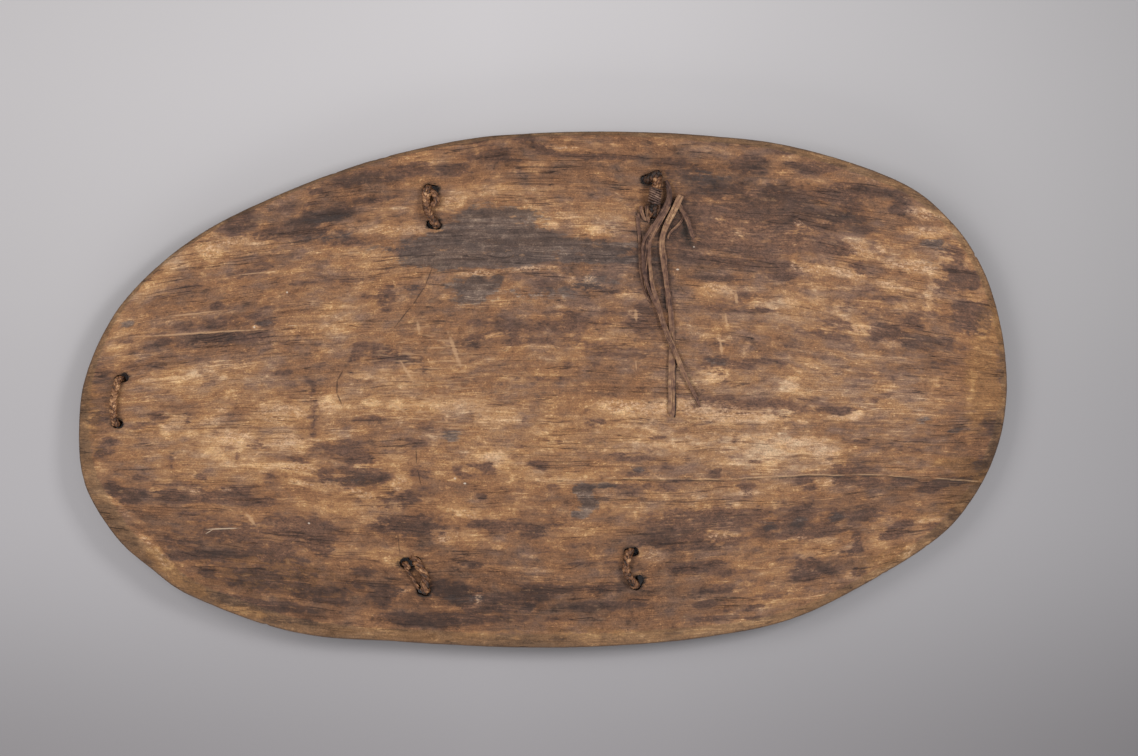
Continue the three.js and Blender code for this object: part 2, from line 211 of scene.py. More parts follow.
def smooth_curve(points, closed=False, steps=24):
    """A centripetal curve through the points, with this many steps between two of them."""
    points = np.asarray(points, float)
    if closed:
        padded = np.vstack([points[-1], points, points[:2]])
    else:
        padded = np.vstack([2 * points[0] - points[1], points, 2 * points[-1] - points[-2]])
    curve = []
    for i in range(len(padded) - 3):
        p = padded[i:i + 4]
        knots = np.concatenate([[0], np.cumsum(np.linalg.norm(np.diff(p, axis=0), axis=1) ** 0.5)])
        t = np.linspace(knots[1], knots[2], steps, endpoint=False)[:, None]

        def blend(a, b, i, j):
            return ((knots[j] - t) * a + (t - knots[i]) * b) / (knots[j] - knots[i])

        first = [blend(p[k], p[k + 1], k, k + 1) for k in range(3)]
        second = [blend(first[0], first[1], 0, 2), blend(first[1], first[2], 1, 3)]
        curve.append(blend(second[0], second[1], 1, 2))
    if not closed:
        curve.append(padded[-2][None])
    return np.vstack(curve)


def travelled_along(path):
    """How far each point of a path is from its start, measured along it."""
    return np.concatenate([[0], np.cumsum(np.linalg.norm(np.diff(path, axis=0), axis=1))])


def resample(path, spacing, closed=False):
    """The same path with points at even spacing."""
    ends = np.vstack([path, path[:1]]) if closed else path
    travelled = travelled_along(ends)
    count = max(4, int(round(travelled[-1] / spacing)))
    stations = np.linspace(0, travelled[-1], count + 1)[:count if closed else None]
    return np.stack([np.interp(stations, travelled, ends[:, k]) for k in range(ends.shape[1])], axis=1)


print("height of the back at the middle", back_height(0.0, 0.0))

# %% [markdown]
# Old hand-made things are never quite even. One seeded noise gives every unevenness in this lesson, so
# that the shield comes out the same each time.

# %% Seeded noise
NOISE_CELLS = 128
NOISE_START = (37.3, 11.9)
FINER_WEIGHT = 0.55  # each finer layer counts this much as the one before it


def noise(x, y, size_x, size_y, seed, layers=1):
    """Smooth noise from -1 to 1, in blobs of about size_x by size_y, with finer layers added."""
    total, weight, whole = 0.0, 1.0, 0.0
    for layer in range(layers):
        table = np.random.default_rng(seed + 101 * layer).uniform(-1, 1, (NOISE_CELLS, NOISE_CELLS))
        u = np.asarray(x, float) / size_x * 2 ** layer + NOISE_START[0]
        v = np.asarray(y, float) / size_y * 2 ** layer + NOISE_START[1]
        iu, iv = np.floor(u).astype(int), np.floor(v).astype(int)
        fu, fv = u - iu, v - iv
        fu, fv = fu * fu * (3 - 2 * fu), fv * fv * (3 - 2 * fv)
        u0, u1 = iu % NOISE_CELLS, (iu + 1) % NOISE_CELLS
        v0, v1 = iv % NOISE_CELLS, (iv + 1) % NOISE_CELLS
        below = table[u0, v0] * (1 - fu) + table[u1, v0] * fu
        above = table[u0, v1] * (1 - fu) + table[u1, v1] * fu
        total = total + weight * (below * (1 - fv) + above * fv)
        whole += weight
        weight *= FINER_WEIGHT
    return total / whole


# %% [markdown]
# Every cord and strip is made the same way: rings of points are set along a path and joined into a
# closed skin. Each piece keeps a UV map with its length along it, so that fibres in its material run
# along the strip wherever it bends, and a "tone" from dark to pale.

# %% Sweeping strands along paths


def frames_along(path, across, closed=False):
    """Directions along, across and out of each point of a path."""
    if closed:
        along = np.roll(path, -1, axis=0) - np.roll(path, 1, axis=0)
    else:
        along = np.gradient(path, axis=0)
    along /= np.linalg.norm(along, axis=1)[:, None]
    side = np.broadcast_to(across, path.shape)
    side = side - (side * along).sum(1)[:, None] * along
    side /= np.linalg.norm(side, axis=1)[:, None]
    return along, side, np.cross(side, along)


def sweep(path, across, half_width, half_height, tone, closed=False, sides=10, lobes=0, lobe_depth=0.0,
          lobe_twist=0.0, roll=0.0):
    """One strand: its vertices, faces, UVs and tones. Lobes are the fibre bundles on its skin."""
    count = len(path)
    along, side, out = frames_along(path, across, closed)
    roll = np.broadcast_to(roll, count)[:, None]
    side, out = side * np.cos(roll) + out * np.sin(roll), out * np.cos(roll) - side * np.sin(roll)
    travelled = travelled_along(np.vstack([path, path[:1] if closed else path[-1:]]))
    turn = (np.arange(sides) + 0.5) / sides * 2 * math.pi - math.pi / 2
    lobed = 1 + lobe_depth * np.cos(lobes * turn[None, :] + lobe_twist * travelled[:count, None])
    wide = np.broadcast_to(half_width, count)[:, None] * lobed * np.cos(turn)[None, :]
    high = np.broadcast_to(half_height, count)[:, None] * lobed * np.sin(turn)[None, :]
    rings = path[:, None, :] + side[:, None, :] * wide[..., None] - out[:, None, :] * high[..., None]
    tones = np.repeat(np.broadcast_to(tone, count), sides)
    bands = count if closed else count - 1
    ring = np.arange(bands)[:, None]
    k = np.arange(sides)[None, :]
    after, beside = (ring + 1) % count, (k + 1) % sides
    corners = [ring * sides + k, ring * sides + beside, after * sides + beside, after * sides + k]
    faces = [tuple(f) for f in np.stack(np.broadcast_arrays(*corners), axis=-1).reshape(-1, 4).tolist()]
    uv_parts = []
    for grow_ring, grow_side in ((0, 0), (0, 1), (1, 1), (1, 0)):
        u = np.broadcast_to((k + grow_side) / sides, (bands, sides))
        v = np.broadcast_to(travelled[ring + grow_ring], (bands, sides))
        uv_parts.append(np.stack([u, v], axis=-1))
    uvs = np.stack(uv_parts, axis=2).reshape(-1, 2)
    if not closed:
        faces += [tuple(range(sides))[::-1], tuple(range((count - 1) * sides, count * sides))]
        cap_uvs = [np.tile([0.5, reached], (sides, 1)) for reached in (0.0, travelled[count - 1])]
        uvs = np.vstack([uvs, *cap_uvs])
    return rings.reshape(-1, 3), faces, uvs, tones


def select_alone(*pieces):
    """Selects these pieces and nothing else. The last one is active."""
    bpy.ops.object.select_all(action="DESELECT")
    for piece in pieces:
        piece.select_set(True)
    bpy.context.view_layer.objects.active = pieces[-1]


def build_piece(name, strands, material, node_name):
    """One object from several strands. It replaces the solid of that node."""
    faces, start = [], 0
    for strand_vertices, strand_faces, _, _ in strands:
        faces += [tuple(i + start for i in face) for face in strand_faces]
        start += len(strand_vertices)
    vertices, _, uvs, tones = zip(*strands)
    mesh = bpy.data.meshes.new(name)
    mesh.from_pydata(np.vstack(vertices).tolist(), [], faces)
    mesh.uv_layers.new(name="along_strand").data.foreach_set("uv", np.vstack(uvs).ravel())
    mesh.attributes.new("tone", "FLOAT", "POINT").data.foreach_set("value", np.concatenate(tones))
    piece = bpy.data.objects.new(name, mesh)
    bpy.context.collection.objects.link(piece)
    select_alone(piece)
    bpy.ops.object.mode_set(mode="EDIT")
    bpy.ops.mesh.select_all(action="SELECT")
    bpy.ops.mesh.normals_make_consistent(inside=False)
    bpy.ops.object.mode_set(mode="OBJECT")
    bpy.ops.object.shade_smooth_by_angle(angle=math.radians(60))
    mesh.materials.append(material)
    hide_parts(node_name)
    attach(piece, "root")
    print(name, len(mesh.vertices), "vertices")
    return piece


# %% [markdown]
# Bark strips are the inner bark of a vine, torn off in flat strips and left dry. They are fibrous, so
# pale and dark fibres lie side by side along them, and matt, with a faint gloss where they were handled.

# %% Material: dry bark strip
HANDLED_BLOTCHES = 150.0  # to the metre, so about 7 mm each, where handling darkened the fibre


def fibrous_material(name, stops, fibres_round, fibre_length, bump_depth, roughness, streaky=1.5):
    """A dry plant fibre: streaks along the strand's UV, its tone from the piece, and a fine relief."""
    material, tree, shader = new_material(name)
    uv = add_node(tree, "UVMap", uv_map="along_strand")
    coordinates = add_node(tree, "TexCoord")
    tone = add_node(tree, "Attribute", attribute_name="tone")
    stretch = add_node(tree, "Mapping", {"Vector": uv, "Scale": (fibres_round, 1 / fibre_length, 1)})
    fibres = add_node(tree, "TexNoise", {"Vector": stretch, "Scale": 1.0, "Detail": 4.0, "Roughness": 0.65})
    blotches = add_node(tree, "TexNoise", {"Vector": coordinates.outputs["Object"], "Scale": HANDLED_BLOTCHES,
                                           "Detail": 3.0, "Roughness": 0.6})
    value = add_node(tree, "Math", {0: fibres, 1: streaky, 2: -streaky / 2}, operation="MULTIPLY_ADD")
    value = add_node(tree, "Math", {0: tone.outputs["Fac"], 1: value}, operation="ADD")
    blotch = add_node(tree, "Math", {0: blotches, 1: 0.9, 2: -0.45}, operation="MULTIPLY_ADD")
    value = add_node(tree, "Math", {0: value, 1: blotch}, operation="ADD", use_clamp=True)
    ramp = add_node(tree, "ValToRGB", {0: value})
    set_ramp(ramp, stops)
    bump = add_node(tree, "Bump", {"Strength": 0.8, "Distance": bump_depth, "Height": fibres})
    tree.links.new(ramp.outputs[0], shader.inputs["Base Color"])
    tree.links.new(bump.outputs[0], shader.inputs["Normal"])
    shader.inputs["Roughness"].default_value = roughness
    shader.inputs["Specular IOR Level"].default_value = 0.35
    return material


BARK_STOPS = [(0.0, "#221714"), (0.25, "#452e26"), (0.5, "#6e4f3f"), (0.75, "#957153"), (1.0, "#c39f78")]
bark = fibrous_material("dry_bark_strip", BARK_STOPS, 9, 22 * MM, 0.4 * MM, 0.7, streaky=1.0)
print("material", bark.name)

# %% [markdown]
# The carrying sling was a band of such strips, and only torn lengths of it are left. They hang from the
# lashing at the upper right, cross once and lie loose on the hollow back. Each strip is a bundle of
# narrow ribbons side by side, because bark splits along its fibres: the splits show as grooves, and at
# the torn ends the ribbons stop at different lengths. The strips are cords to the frame; each is built
# with its width along the path it follows, and its length is printed.

# %% The sling's strips
SLING_ANCHOR = (0.245 * HALF_LENGTH, 0.8145 * HALF_WIDTH)
REST_GAP = 0.35 * MM
STRIP_THICKNESS = 2.4 * MM
FIBRE_THICKNESS = 1.8 * MM
STRIP_STEP = 1.6 * MM
# right and up from the anchor, and the lift off the board, in millimetres
STRIP_LEFT = [
    (11.2, -2.6, 0.8), (15.1, -13.1, 2.5), (16.0, -23.6, 4.0), (12.5, -34.6, 5.0), (4.1, -50.4, 5.4),
    (-5.2, -66.2, 5.6), (-12.6, -81.3, 5.8), (-14.2, -99.7, 6.0), (-13.1, -122.0, 5.6), (-9.8, -137.7, 4.8),
    (-4.2, -153.5, 4.0), (3.0, -170.5, 3.0), (7.6, -185.0, 3.0), (11.4, -196.0, 3.6), (15.4, -207.0, 3.8),
    (21.3, -219.0, 4.0), (27.5, -234.8, 3.6), (36.7, -255.8, 2.4), (47.2, -276.8, 1.6), (57.7, -299.1, 0.3),
]
STRIP_RIGHT = [
    (31.5, -22.3, 6.2), (25.6, -34.1, 5.4), (17.9, -49.8, 3.6), (10.3, -65.6, 2.2), (6.2, -80.0, 1.4),
    (6.4, -95.8, 1.6), (9.2, -114.1, 2.2), (12.2, -132.5, 2.2), (15.3, -150.9, 1.4), (17.8, -167.9, 0.6),
    (19.4, -185.0, 0), (20.3, -202.0, 0), (20.4, -219.1, 0.2), (20.3, -237.4, 0.8), (20.2, -257.1, 1.2),
    (20.2, -276.8, 1.2), (20.2, -295.2, 0.8), (20.1, -312.9, 0.4),
]
STRIP_SHORT = [
    (23.6, -25.6, 0), (27.6, -31.2, 0), (32.8, -39.4, 0.8), (36.6, -46.4, 2.6), (39.4, -53.4, 4.2),
    (42.4, -62.0, 5.2), (45.0, -70.6, 6.2), (47.2, -78.7, 7.0),
]
FIBRE_LEFT = [
    (-24.7, -44.6, 0.8), (-24.7, -55.1, 0.4), (-23.2, -66.9, 0), (-22.0, -80.0, 0), (-21.6, -95.8, 0),
    (-21.4, -110.2, 0), (-20.2, -123.3, 0), (-17.4, -137.7, 0), (-12.4, -152.2, 0), (-8.2, -162.7, 0),
]
FIBRE_CROSS = [
    (35.4, -48.5, 0), (31.5, -55.8, 0), (24.3, -63.6, 0), (18.3, -69.2, 0), (15.4, -74.2, 0),
    (14.4, -79.0, 0),
]


def strip_path(places, thickness):
    """The middle line of a strip that lies on the back."""
    right, up, lift = (smooth_curve(places) * MM).T
    x, y = SLING_ANCHOR[0] + right, SLING_ANCHOR[1] + up
    height = back_height(x, y) + thickness / 2 + REST_GAP + lift
    return resample(np.stack([x, y, height], axis=1), STRIP_STEP)


def ribbons(path, width, thickness, table, seed, threads=2):
    """The ribbons of a strip, side by side, with a few fine threads that have come off them.

    Each ribbon has rows of: how far along the strip, its place across it from -1 to 1, its share of the
    width, and its tone. Of three ribbons, two lie a little higher and the third lower.
    """
    travelled = np.arange(len(path)) * STRIP_STEP
    total = travelled[-1]
    _, side, out = frames_along(path, np.cross(path[-1] - path[0], (0, 0, 1)))
    random = np.random.default_rng(seed)
    strands = []
    for i, rows in enumerate(table):
        along, place, share, tone = zip(*rows)
        first, last = int(along[0] * (len(path) - 1)), int(along[-1] * (len(path) - 1)) + 1
        at = travelled[first:last]
        place, share, tone = (np.interp(at / total, along, values) for values in (place, share, tone))
        place = place + 0.12 * noise(at, i * 9.0, 26 * MM, 1.0, seed + i, 2)
        share = share * (1 + 0.22 * noise(at, 3.0 + i, 24 * MM, 1.0, seed + 7, 2))
        height = 0.3 * noise(at, 5.0 + i, 26 * MM, 1.0, seed + 20 + i, 2) + (0.25, 0.3, -0.35)[i % 3]
        line = path[first:last] + side[first:last] * (place * width / 2)[:, None]
        line = line + out[first:last] * (thickness * height)[:, None]
        taper = np.clip(np.minimum(at - at[0] + 4 * MM, at[-1] - at) / (total / 32), 0, 1) ** 0.6
        taper = 0.4 + 0.6 * taper
        roll = noise(at, 1.0, 50 * MM, 1.0, seed + 40 + i, 2) * 0.7
        shade = tone + 0.08 * noise(at, 2.0, 20 * MM, 1.0, seed + 60 + i, 2)
        half_width, half_height = width / 2 * share * taper, thickness * 0.25 * taper
        strands.append(sweep(line, side[first:last], half_width, half_height, shade, sides=14, lobes=6,
                             lobe_depth=0.06, lobe_twist=12.0, roll=roll))
    for thread in range(threads):
        start = int(random.uniform(0.0, 0.6) * len(path))
        stop = min(len(path), start + int(random.uniform(0.15, 0.4) * len(path)))
        at = travelled[start:stop]
        across = noise(at, thread * 4.0, 45 * MM, 1.0, seed + 90 + thread, 2) * 0.5
        across = across + random.uniform(-0.35, 0.35)
        line = path[start:stop] + side[start:stop] * (across * width)[:, None]
        line = line + out[start:stop] * thickness * random.uniform(0.45, 0.6)
        thin = 0.5 * MM * np.clip(np.minimum(at - at[0], at[-1] - at) / (12 * MM), 0.25, 1)
        tone = random.uniform(0.3, 0.7)
        strands.append(sweep(line, side[start:stop], thin * 1.5, thin * 0.8, tone, sides=6))
    return strands, total


def add_strip(name, places, width, thickness, table, seed, threads=2):
    """A strip of the sling, built in place of its solid."""
    path = strip_path(places, thickness)
    strands, total = ribbons(path, width, thickness, table, seed, threads)
    piece = build_piece(name + "_bark", strands, bark, name)
    print(name, "follows a path of", round(total / MM), "mm")


# in each table the third ribbon lies lower than the others and has a dark tone: painted shade in the groove
# between them
LEFT_RIBBONS = [
    [(0, -0.1, 0.5, 0.14), (0.06, -0.2, 0.5, 0.26), (0.12, -0.35, 0.55, 0.42), (0.22, -0.55, 0.52, 0.52),
     (0.3, -0.8, 0.46, 0.46), (0.4, -1.05, 0.56, 0.6), (0.48, -0.7, 0.56, 0.58), (0.56, -0.3, 0.5, 0.46),
     (0.66, -0.3, 0.5, 0.48), (0.73, -0.2, 0.5, 0.68), (0.82, -0.15, 0.5, 0.66), (0.92, 0, 0.45, 0.5),
     (1, 0, 0.4, 0.36)],
    [(0.02, 0.4, 0.34, 0.12), (0.06, 0.3, 0.36, 0.2), (0.12, 0.35, 0.42, 0.34), (0.22, 0.45, 0.5, 0.4),
     (0.3, 1.0, 0.3, 0.36), (0.4, 0.9, 0.34, 0.32), (0.5, 0.4, 0.42, 0.44), (0.6, 0.3, 0.45, 0.48),
     (0.7, 0.3, 0.4, 0.42), (0.8, 0.3, 0.35, 0.72), (0.88, 0.2, 0.3, 0.58), (0.99, 0.1, 0.3, 0.4)],
    [(0, 0.15, 0.3, 0.06), (0.25, 0, 0.36, 0.12), (0.36, -0.1, 0.7, 0.24), (0.45, -0.05, 0.6, 0.2),
     (0.7, 0.05, 0.4, 0.2), (1, 0.05, 0.4, 0.22)],
    [(0.2, 0.9, 0.22, 0.45), (0.3, 1.2, 0.2, 0.4), (0.38, 0.7, 0.22, 0.5), (0.5, 0.1, 0.22, 0.5),
     (0.62, 0.6, 0.2, 0.55), (0.7, 0.1, 0.2, 0.5)],
    [(0.1, -0.9, 0.14, 0.66), (0.24, -1.1, 0.16, 0.6), (0.36, -0.3, 0.2, 0.4), (0.46, 0.9, 0.2, 0.36),
     (0.56, 0.4, 0.2, 0.4), (0.66, -0.5, 0.2, 0.5)],
]
RIGHT_RIBBONS = [
    [(0, -0.4, 0.42, 0.74), (0.1, -0.42, 0.4, 0.76), (0.17, -0.3, 0.36, 0.64), (0.25, -0.3, 0.3, 0.5),
     (0.36, -0.25, 0.28, 0.46), (0.5, -0.3, 0.3, 0.44), (0.6, -0.35, 0.36, 0.44), (0.68, -0.3, 0.66, 0.58),
     (0.8, -0.2, 0.72, 0.62), (1, -0.2, 0.72, 0.6)],
    [(0, 0.4, 0.42, 0.7), (0.1, 0.4, 0.4, 0.68), (0.17, 0.25, 0.36, 0.56), (0.27, 0.22, 0.32, 0.62),
     (0.36, 0.22, 0.32, 0.6), (0.5, 0.26, 0.34, 0.56), (0.62, 0.25, 0.42, 0.54), (0.7, 0.35, 0.6, 0.6),
     (0.8, 0.4, 0.55, 0.62), (0.985, 0.4, 0.5, 0.6)],
    [(0, 0, 0.3, 0.1), (0.2, 0, 0.3, 0.12), (0.45, 0, 0.3, 0.16), (0.64, -0.2, 0.4, 0.2),
     (0.75, -0.85, 0.3, 0.16), (1, -0.8, 0.3, 0.14)],
    [(0.08, 0.2, 0.22, 0.66), (0.18, -0.5, 0.22, 0.6), (0.3, -0.9, 0.2, 0.5), (0.42, 0.3, 0.2, 0.5),
     (0.52, 0.7, 0.2, 0.4)],
]
NARROW_RIBBONS = [
    [(0, -0.3, 0.6, 0.36), (0.5, -0.35, 0.6, 0.44), (1, -0.2, 0.5, 0.4)],
    [(0.03, 0.45, 0.5, 0.46), (0.5, 0.4, 0.5, 0.5), (0.97, 0.3, 0.4, 0.5)],
    [(0, 0.1, 0.5, 0.2), (1, 0.1, 0.5, 0.2)],
]
TUCKED_RIBBONS = [
    [(0, -0.4, 0.7, 0.5), (0.5, -0.35, 0.7, 0.66), (1, -0.2, 0.6, 0.5)],
    [(0.03, 0.55, 0.4, 0.4), (0.5, 0.5, 0.45, 0.56), (0.97, 0.3, 0.4, 0.4)],
    [(0, 0.1, 0.4, 0.1), (1, 0.1, 0.4, 0.1)],
]
add_strip("sling_strip_left", STRIP_LEFT, 9.6 * MM, STRIP_THICKNESS, LEFT_RIBBONS, 11, threads=5)
add_strip("sling_strip_right", STRIP_RIGHT, 10.4 * MM, STRIP_THICKNESS, RIGHT_RIBBONS, 23, threads=3)
add_strip("sling_strip_short", STRIP_SHORT, 6.4 * MM, FIBRE_THICKNESS, NARROW_RIBBONS, 37)
add_strip("sling_fibre_left", FIBRE_LEFT, 5 * MM, FIBRE_THICKNESS, NARROW_RIBBONS, 41)
add_strip("sling_fibre_cross", FIBRE_CROSS, 3.6 * MM, FIBRE_THICKNESS, NARROW_RIBBONS, 53)

# %% [markdown]
# Two short strip ends are tucked under the binding of the sling's cord. They are made as the strips are,
# but they belong to the lashing and aren't free cords.

# %% Tucked strip ends
TUCKED_ENDS = [
    [(-21.5, -35.5, 4.5), (-19.9, -43.5, 2.9), (-17.4, -49.6, 0.8), (-14.6, -54.8, 0.2)],
    [(-13.6, -35.4, 4.5), (-12.8, -43.6, 3.1), (-11.6, -50.6, 1.2), (-10.8, -57.0, 0.2)],
]
for number, places in enumerate(TUCKED_ENDS, start=1):
    path = strip_path(places, FIBRE_THICKNESS)
    strands, _ = ribbons(path, 4.6 * MM, FIBRE_THICKNESS, TUCKED_RIBBONS, 60 + number)
    build_piece(f"tucked_end_{number}_bark", strands, bark, f"tucked_end_{number}")

# %% [markdown]
# The board's back is a grid whose rows run along the grain, because everything that shows on worn wood
# does: ridges, streaks and splits. A flat grid is added and its points are moved on to the oval. Each
# side of the grid follows a quarter of the outline, and the points between are blended from the four
# sides. The outline itself is kept as a table of points with the direction inwards at each.

# %% The outline of the real board
outline = resample(smooth_curve(OUTLINE, closed=True), 1 / 400, closed=True)
low, high = outline.min(axis=0), outline.max(axis=0)
outline = (outline - (low + high) / 2) / (high - low) * 2 * np.array([HALF_LENGTH, HALF_WIDTH])
outline = resample(outline, 1.5 * MM, closed=True)
heading = np.roll(outline, -1, axis=0) - np.roll(outline, 1, axis=0)
heading /= np.linalg.norm(heading, axis=1)[:, None]
inwards = np.stack([-heading[:, 1], heading[:, 0]], axis=1)


def rim_place(around, inset):
    """The place this far in from the outline, at a share of the way around it."""
    station = np.asarray(around) % 1.0 * len(outline)
    table = np.arange(len(outline) + 1)
    columns = np.hstack([np.vstack([outline, outline[:1]]), np.vstack([inwards, inwards[:1]])]).T
    x, y, inwards_x, inwards_y = (np.interp(station, table, column) for column in columns)
    return np.stack([x + inwards_x * inset, y + inwards_y * inset], axis=-1)


def rim_share(x, y):
    """Where on the outline the place nearest to (x, y) is, as a share of the way around."""
    return np.argmin(np.hypot(outline[:, 0] - x, outline[:, 1] - y)) / len(outline)


print("outline points", len(outline))

# %% [markdown]
# Along the back's edge runs a band that was pared down for the grip of the hand and worn since. It is
# widest at the lower left and along the bottom, and hardly there at the upper left.

# %% Width of the worn band along the edge
BAND_WIDTHS = [  # share places (x, y) on the outline, and the band's width in millimetres
    (1.0, 0.0, 11), (0.94, 0.48, 12), (0.77, 0.8, 13), (0.4, 0.97, 10), (0.0, 1.0, 7), (-0.4, 0.87, 7),
    (-0.75, 0.58, 7), (-0.95, 0.25, 9), (-1.0, -0.15, 15), (-0.96, -0.45, 22), (-0.84, -0.7, 26),
    (-0.65, -0.87, 22), (-0.35, -0.97, 18), (0.0, -1.0, 20), (0.35, -0.96, 17), (0.6, -0.84, 13),
    (0.86, -0.56, 16), (0.97, -0.28, 15),
]
band_places = sorted((rim_share(x * HALF_LENGTH, y * HALF_WIDTH), width * MM) for x, y, width in BAND_WIDTHS)
band_at, band_width = np.array(band_places).T


def band(around):
    """Width of the worn band here, a little uneven."""
    around = np.asarray(around) % 1.0
    width = np.interp(around, band_at, band_width, period=1.0)
    return width * (1 + 0.16 * noise(around, 0.5, 0.028, 1.0, 301, 2))


print("band from", band_width.min() / MM, "to", band_width.max() / MM, "mm")

# %% [markdown]
# The relief of the back is drawn in code from what shaped it: the tool's shallow scoops, ridges where
# softer wood has worn away between the harder rings, a split along the grain with one lip a little
# higher, and hollows worn around each hole by its cord.

# %% Places of the holes
LASHINGS = {  # at: shares of the half sizes; the rest in millimetres, as in the frame's solids
    "end_loop": dict(at=(-0.911, 0.041), reach=(-4.5, -59), cord=9.5, bulge=-4,
                     room_a=(7, 1.5), room_b=(4.5, -0.5)),
    "upper_left_lashing": dict(at=(-0.247, 0.776), reach=(11, -47), cord=11, bulge=-7,
                               room_a=(7.5, -1), room_b=(-7, 1)),
    "lower_left_lashing": dict(at=(-0.273, -0.667), reach=(13, -38), cord=11.5, bulge=5,
                               room_a=(-15, -2), room_b=(-6, 2)),
    "lower_right_lashing": dict(at=(0.185, -0.632), reach=(9, -43), cord=10.5, bulge=-8,
                                room_a=(7, 1), room_b=(5, 8)),
    "sling_lashing": dict(at=(0.245, 0.8145), reach=(-5.9, -45.46), cord=11.5, bulge=0,
                          room_a=(-15, -1), room_b=(-6, -1)),
}
holes = []
for lashing in LASHINGS.values():
    upper = np.array(lashing["at"]) * (HALF_LENGTH, HALF_WIDTH)
    lower = upper + np.array(lashing["reach"]) * MM
    holes.append((upper, np.array(lashing["room_a"]) * MM, lashing["cord"] * MM))
    holes.append((lower, np.array(lashing["room_b"]) * MM, lashing["cord"] * MM))
print("holes", len(holes))

# %% Relief of the back
SPLIT = [  # to the right and up from the middle, in millimetres
    (-60, -119), (0, -119.5), (110, -117), (230, -118.5), (350, -112.5), (430, -112), (500, -115.5),
    (560, -120), (620, -124),
]
SPLIT_X, SPLIT_Y = np.array(SPLIT, float).T * MM


def above_split(x, y):
    """Distance above the split along the grain, in metres."""
    wander = 1.3 * MM * noise(x, 4.0, 30 * MM, 1.0, 77, 3)
    return y - np.interp(x, SPLIT_X, SPLIT_Y) - wander


def back_relief(x, y):
    """How far the worn surface stands above or below the smooth back."""
    grain_y = y + 5 * MM * noise(x, y, 190 * MM, 90 * MM, 5, 2)
    scoops = 0.9 * MM * noise(x, grain_y, 150 * MM, 62 * MM, 1, 2)
    facets = -0.5 * MM * np.abs(noise(x, grain_y, 70 * MM, 26 * MM, 2, 2))
    ridges = 0.22 * MM * noise(x, grain_y, 130 * MM, 6.5 * MM, 3, 2)
    above = above_split(x, y)
    fades = np.clip((x + 60 * MM) / (90 * MM), 0, 1) * np.clip((620 * MM - x) / (60 * MM), 0, 1)
    lip = 1.0 * MM * fades / (1 + np.exp(-above / (0.8 * MM))) * np.exp(-np.maximum(above, 0) / (45 * MM))
    gap = -0.9 * MM * fades * np.exp(-((above + 1.4 * MM) / (1.3 * MM)) ** 2)
    worn = 0.0
    for middle, room, cord in holes:
        mouth = middle + room / 2
        away = np.hypot(x - mouth[0], y - mouth[1])
        worn = worn - 1.1 * MM * np.exp(-(away / (cord + 5 * MM)) ** 2)
    return scoops + facets + ridges + lip + gap + worn


print("relief at the middle", back_relief(0.0, 0.0) / MM, "mm")

# %% [markdown]
# Now the board itself. The grid becomes the back, its border is extruded ring by ring over the worn
# band and around the edge, and a coarser grid for the plain front is bridged to the last ring.

# %% Grids moved on to the oval
BACK_COLUMNS, BACK_ROWS = 216, 300
CORNERS = [rim_share(x * HALF_LENGTH, y * HALF_WIDTH)
           for x, y in ((-0.84, -0.7), (0.83, -0.61), (0.89, 0.63), (-0.72, 0.62))]


def places_of(mesh):
    """The places of a mesh's points, one row each."""
    flat = np.empty(len(mesh.vertices) * 3)
    mesh.vertices.foreach_get("co", flat)
    return flat.reshape(-1, 3)


def shape_grid(name, columns, rows, inset):
    """A grid that fills the outline, this far in from it. The inset is a function of the way around."""
    bpy.ops.object.select_all(action="DESELECT")
    bpy.ops.mesh.primitive_grid_add(x_subdivisions=columns, y_subdivisions=rows, size=2)
    grid = bpy.context.object
    grid.name = name
    s, t = (places_of(grid.data)[:, :2].T + 1) / 2
    bottom_left, bottom_right, top_right, top_left = CORNERS

    def side(begin, end, share):
        around = begin + ((end - begin) % 1.0) * share
        return rim_place(around, inset(around)), around % 1.0

    bottom, bottom_around = side(bottom_left, bottom_right, s)
    right, right_around = side(bottom_right, top_right, t)
    top, top_around = side(top_right, top_left, 1 - s)
    left, left_around = side(top_left, bottom_left, 1 - t)
    s2, t2 = s[:, None], t[:, None]
    corner = [rim_place(c, inset(np.array(c))) for c in CORNERS]
    place = (bottom * (1 - t2) + top * t2 + left * (1 - s2) + right * s2
             - corner[0] * (1 - s2) * (1 - t2) - corner[1] * s2 * (1 - t2)
             - corner[2] * s2 * t2 - corner[3] * (1 - s2) * t2)
    around = np.select([t < 1e-6, t > 1 - 1e-6, s < 1e-6], [bottom_around, top_around, left_around],
                       right_around)
    grid.data.attributes.new("around", "FLOAT", "POINT").data.foreach_set("value", around)
    return grid, place


def set_places(mesh, x, y, z):
    """Moves a mesh's points."""
    mesh.vertices.foreach_set("co", np.stack([x, y, z], axis=1).ravel())
    mesh.update()


board, place = shape_grid("shield_board", BACK_COLUMNS, BACK_ROWS, band)
x, y = place.T
set_places(board.data, x, y, back_height(x, y) + back_relief(x, y))
print("back grid", len(board.data.polygons), "faces")

# %% [markdown]
# The edge is extruded from the grid's border. Each extrusion makes a new ring of points on top of the
# last one, and each point remembers how far around the outline it is, so the ring can be set to its own
# distance in from the outline and its own height. Small nicks are left along the rim by use.

# %% Around the edge to the front
BAND_STEPS = 5
EDGE_ROUND = 3 * MM
BEVEL_DROP = 6 * MM
# inset and height above the front, from the end of the band around to the front, in millimetres
EDGE_PROFILE = [(1.5, 9.3), (0.5, 7.6), (0.0, 5.0), (0.4, 2.7), (1.5, 1.0), (4.0, 0.2), (9.0, 0.0)]


def nicks(around):
    """How far the worn rim is set in from the outline."""
    wear = 0.5 * MM * (1 + noise(around, 0.3, 0.011, 1.0, 401, 3))
    chips = np.maximum(0, noise(around, 0.7, 0.0045, 1.0, 402, 2) - 0.62) * 6 * MM
    return wear + chips


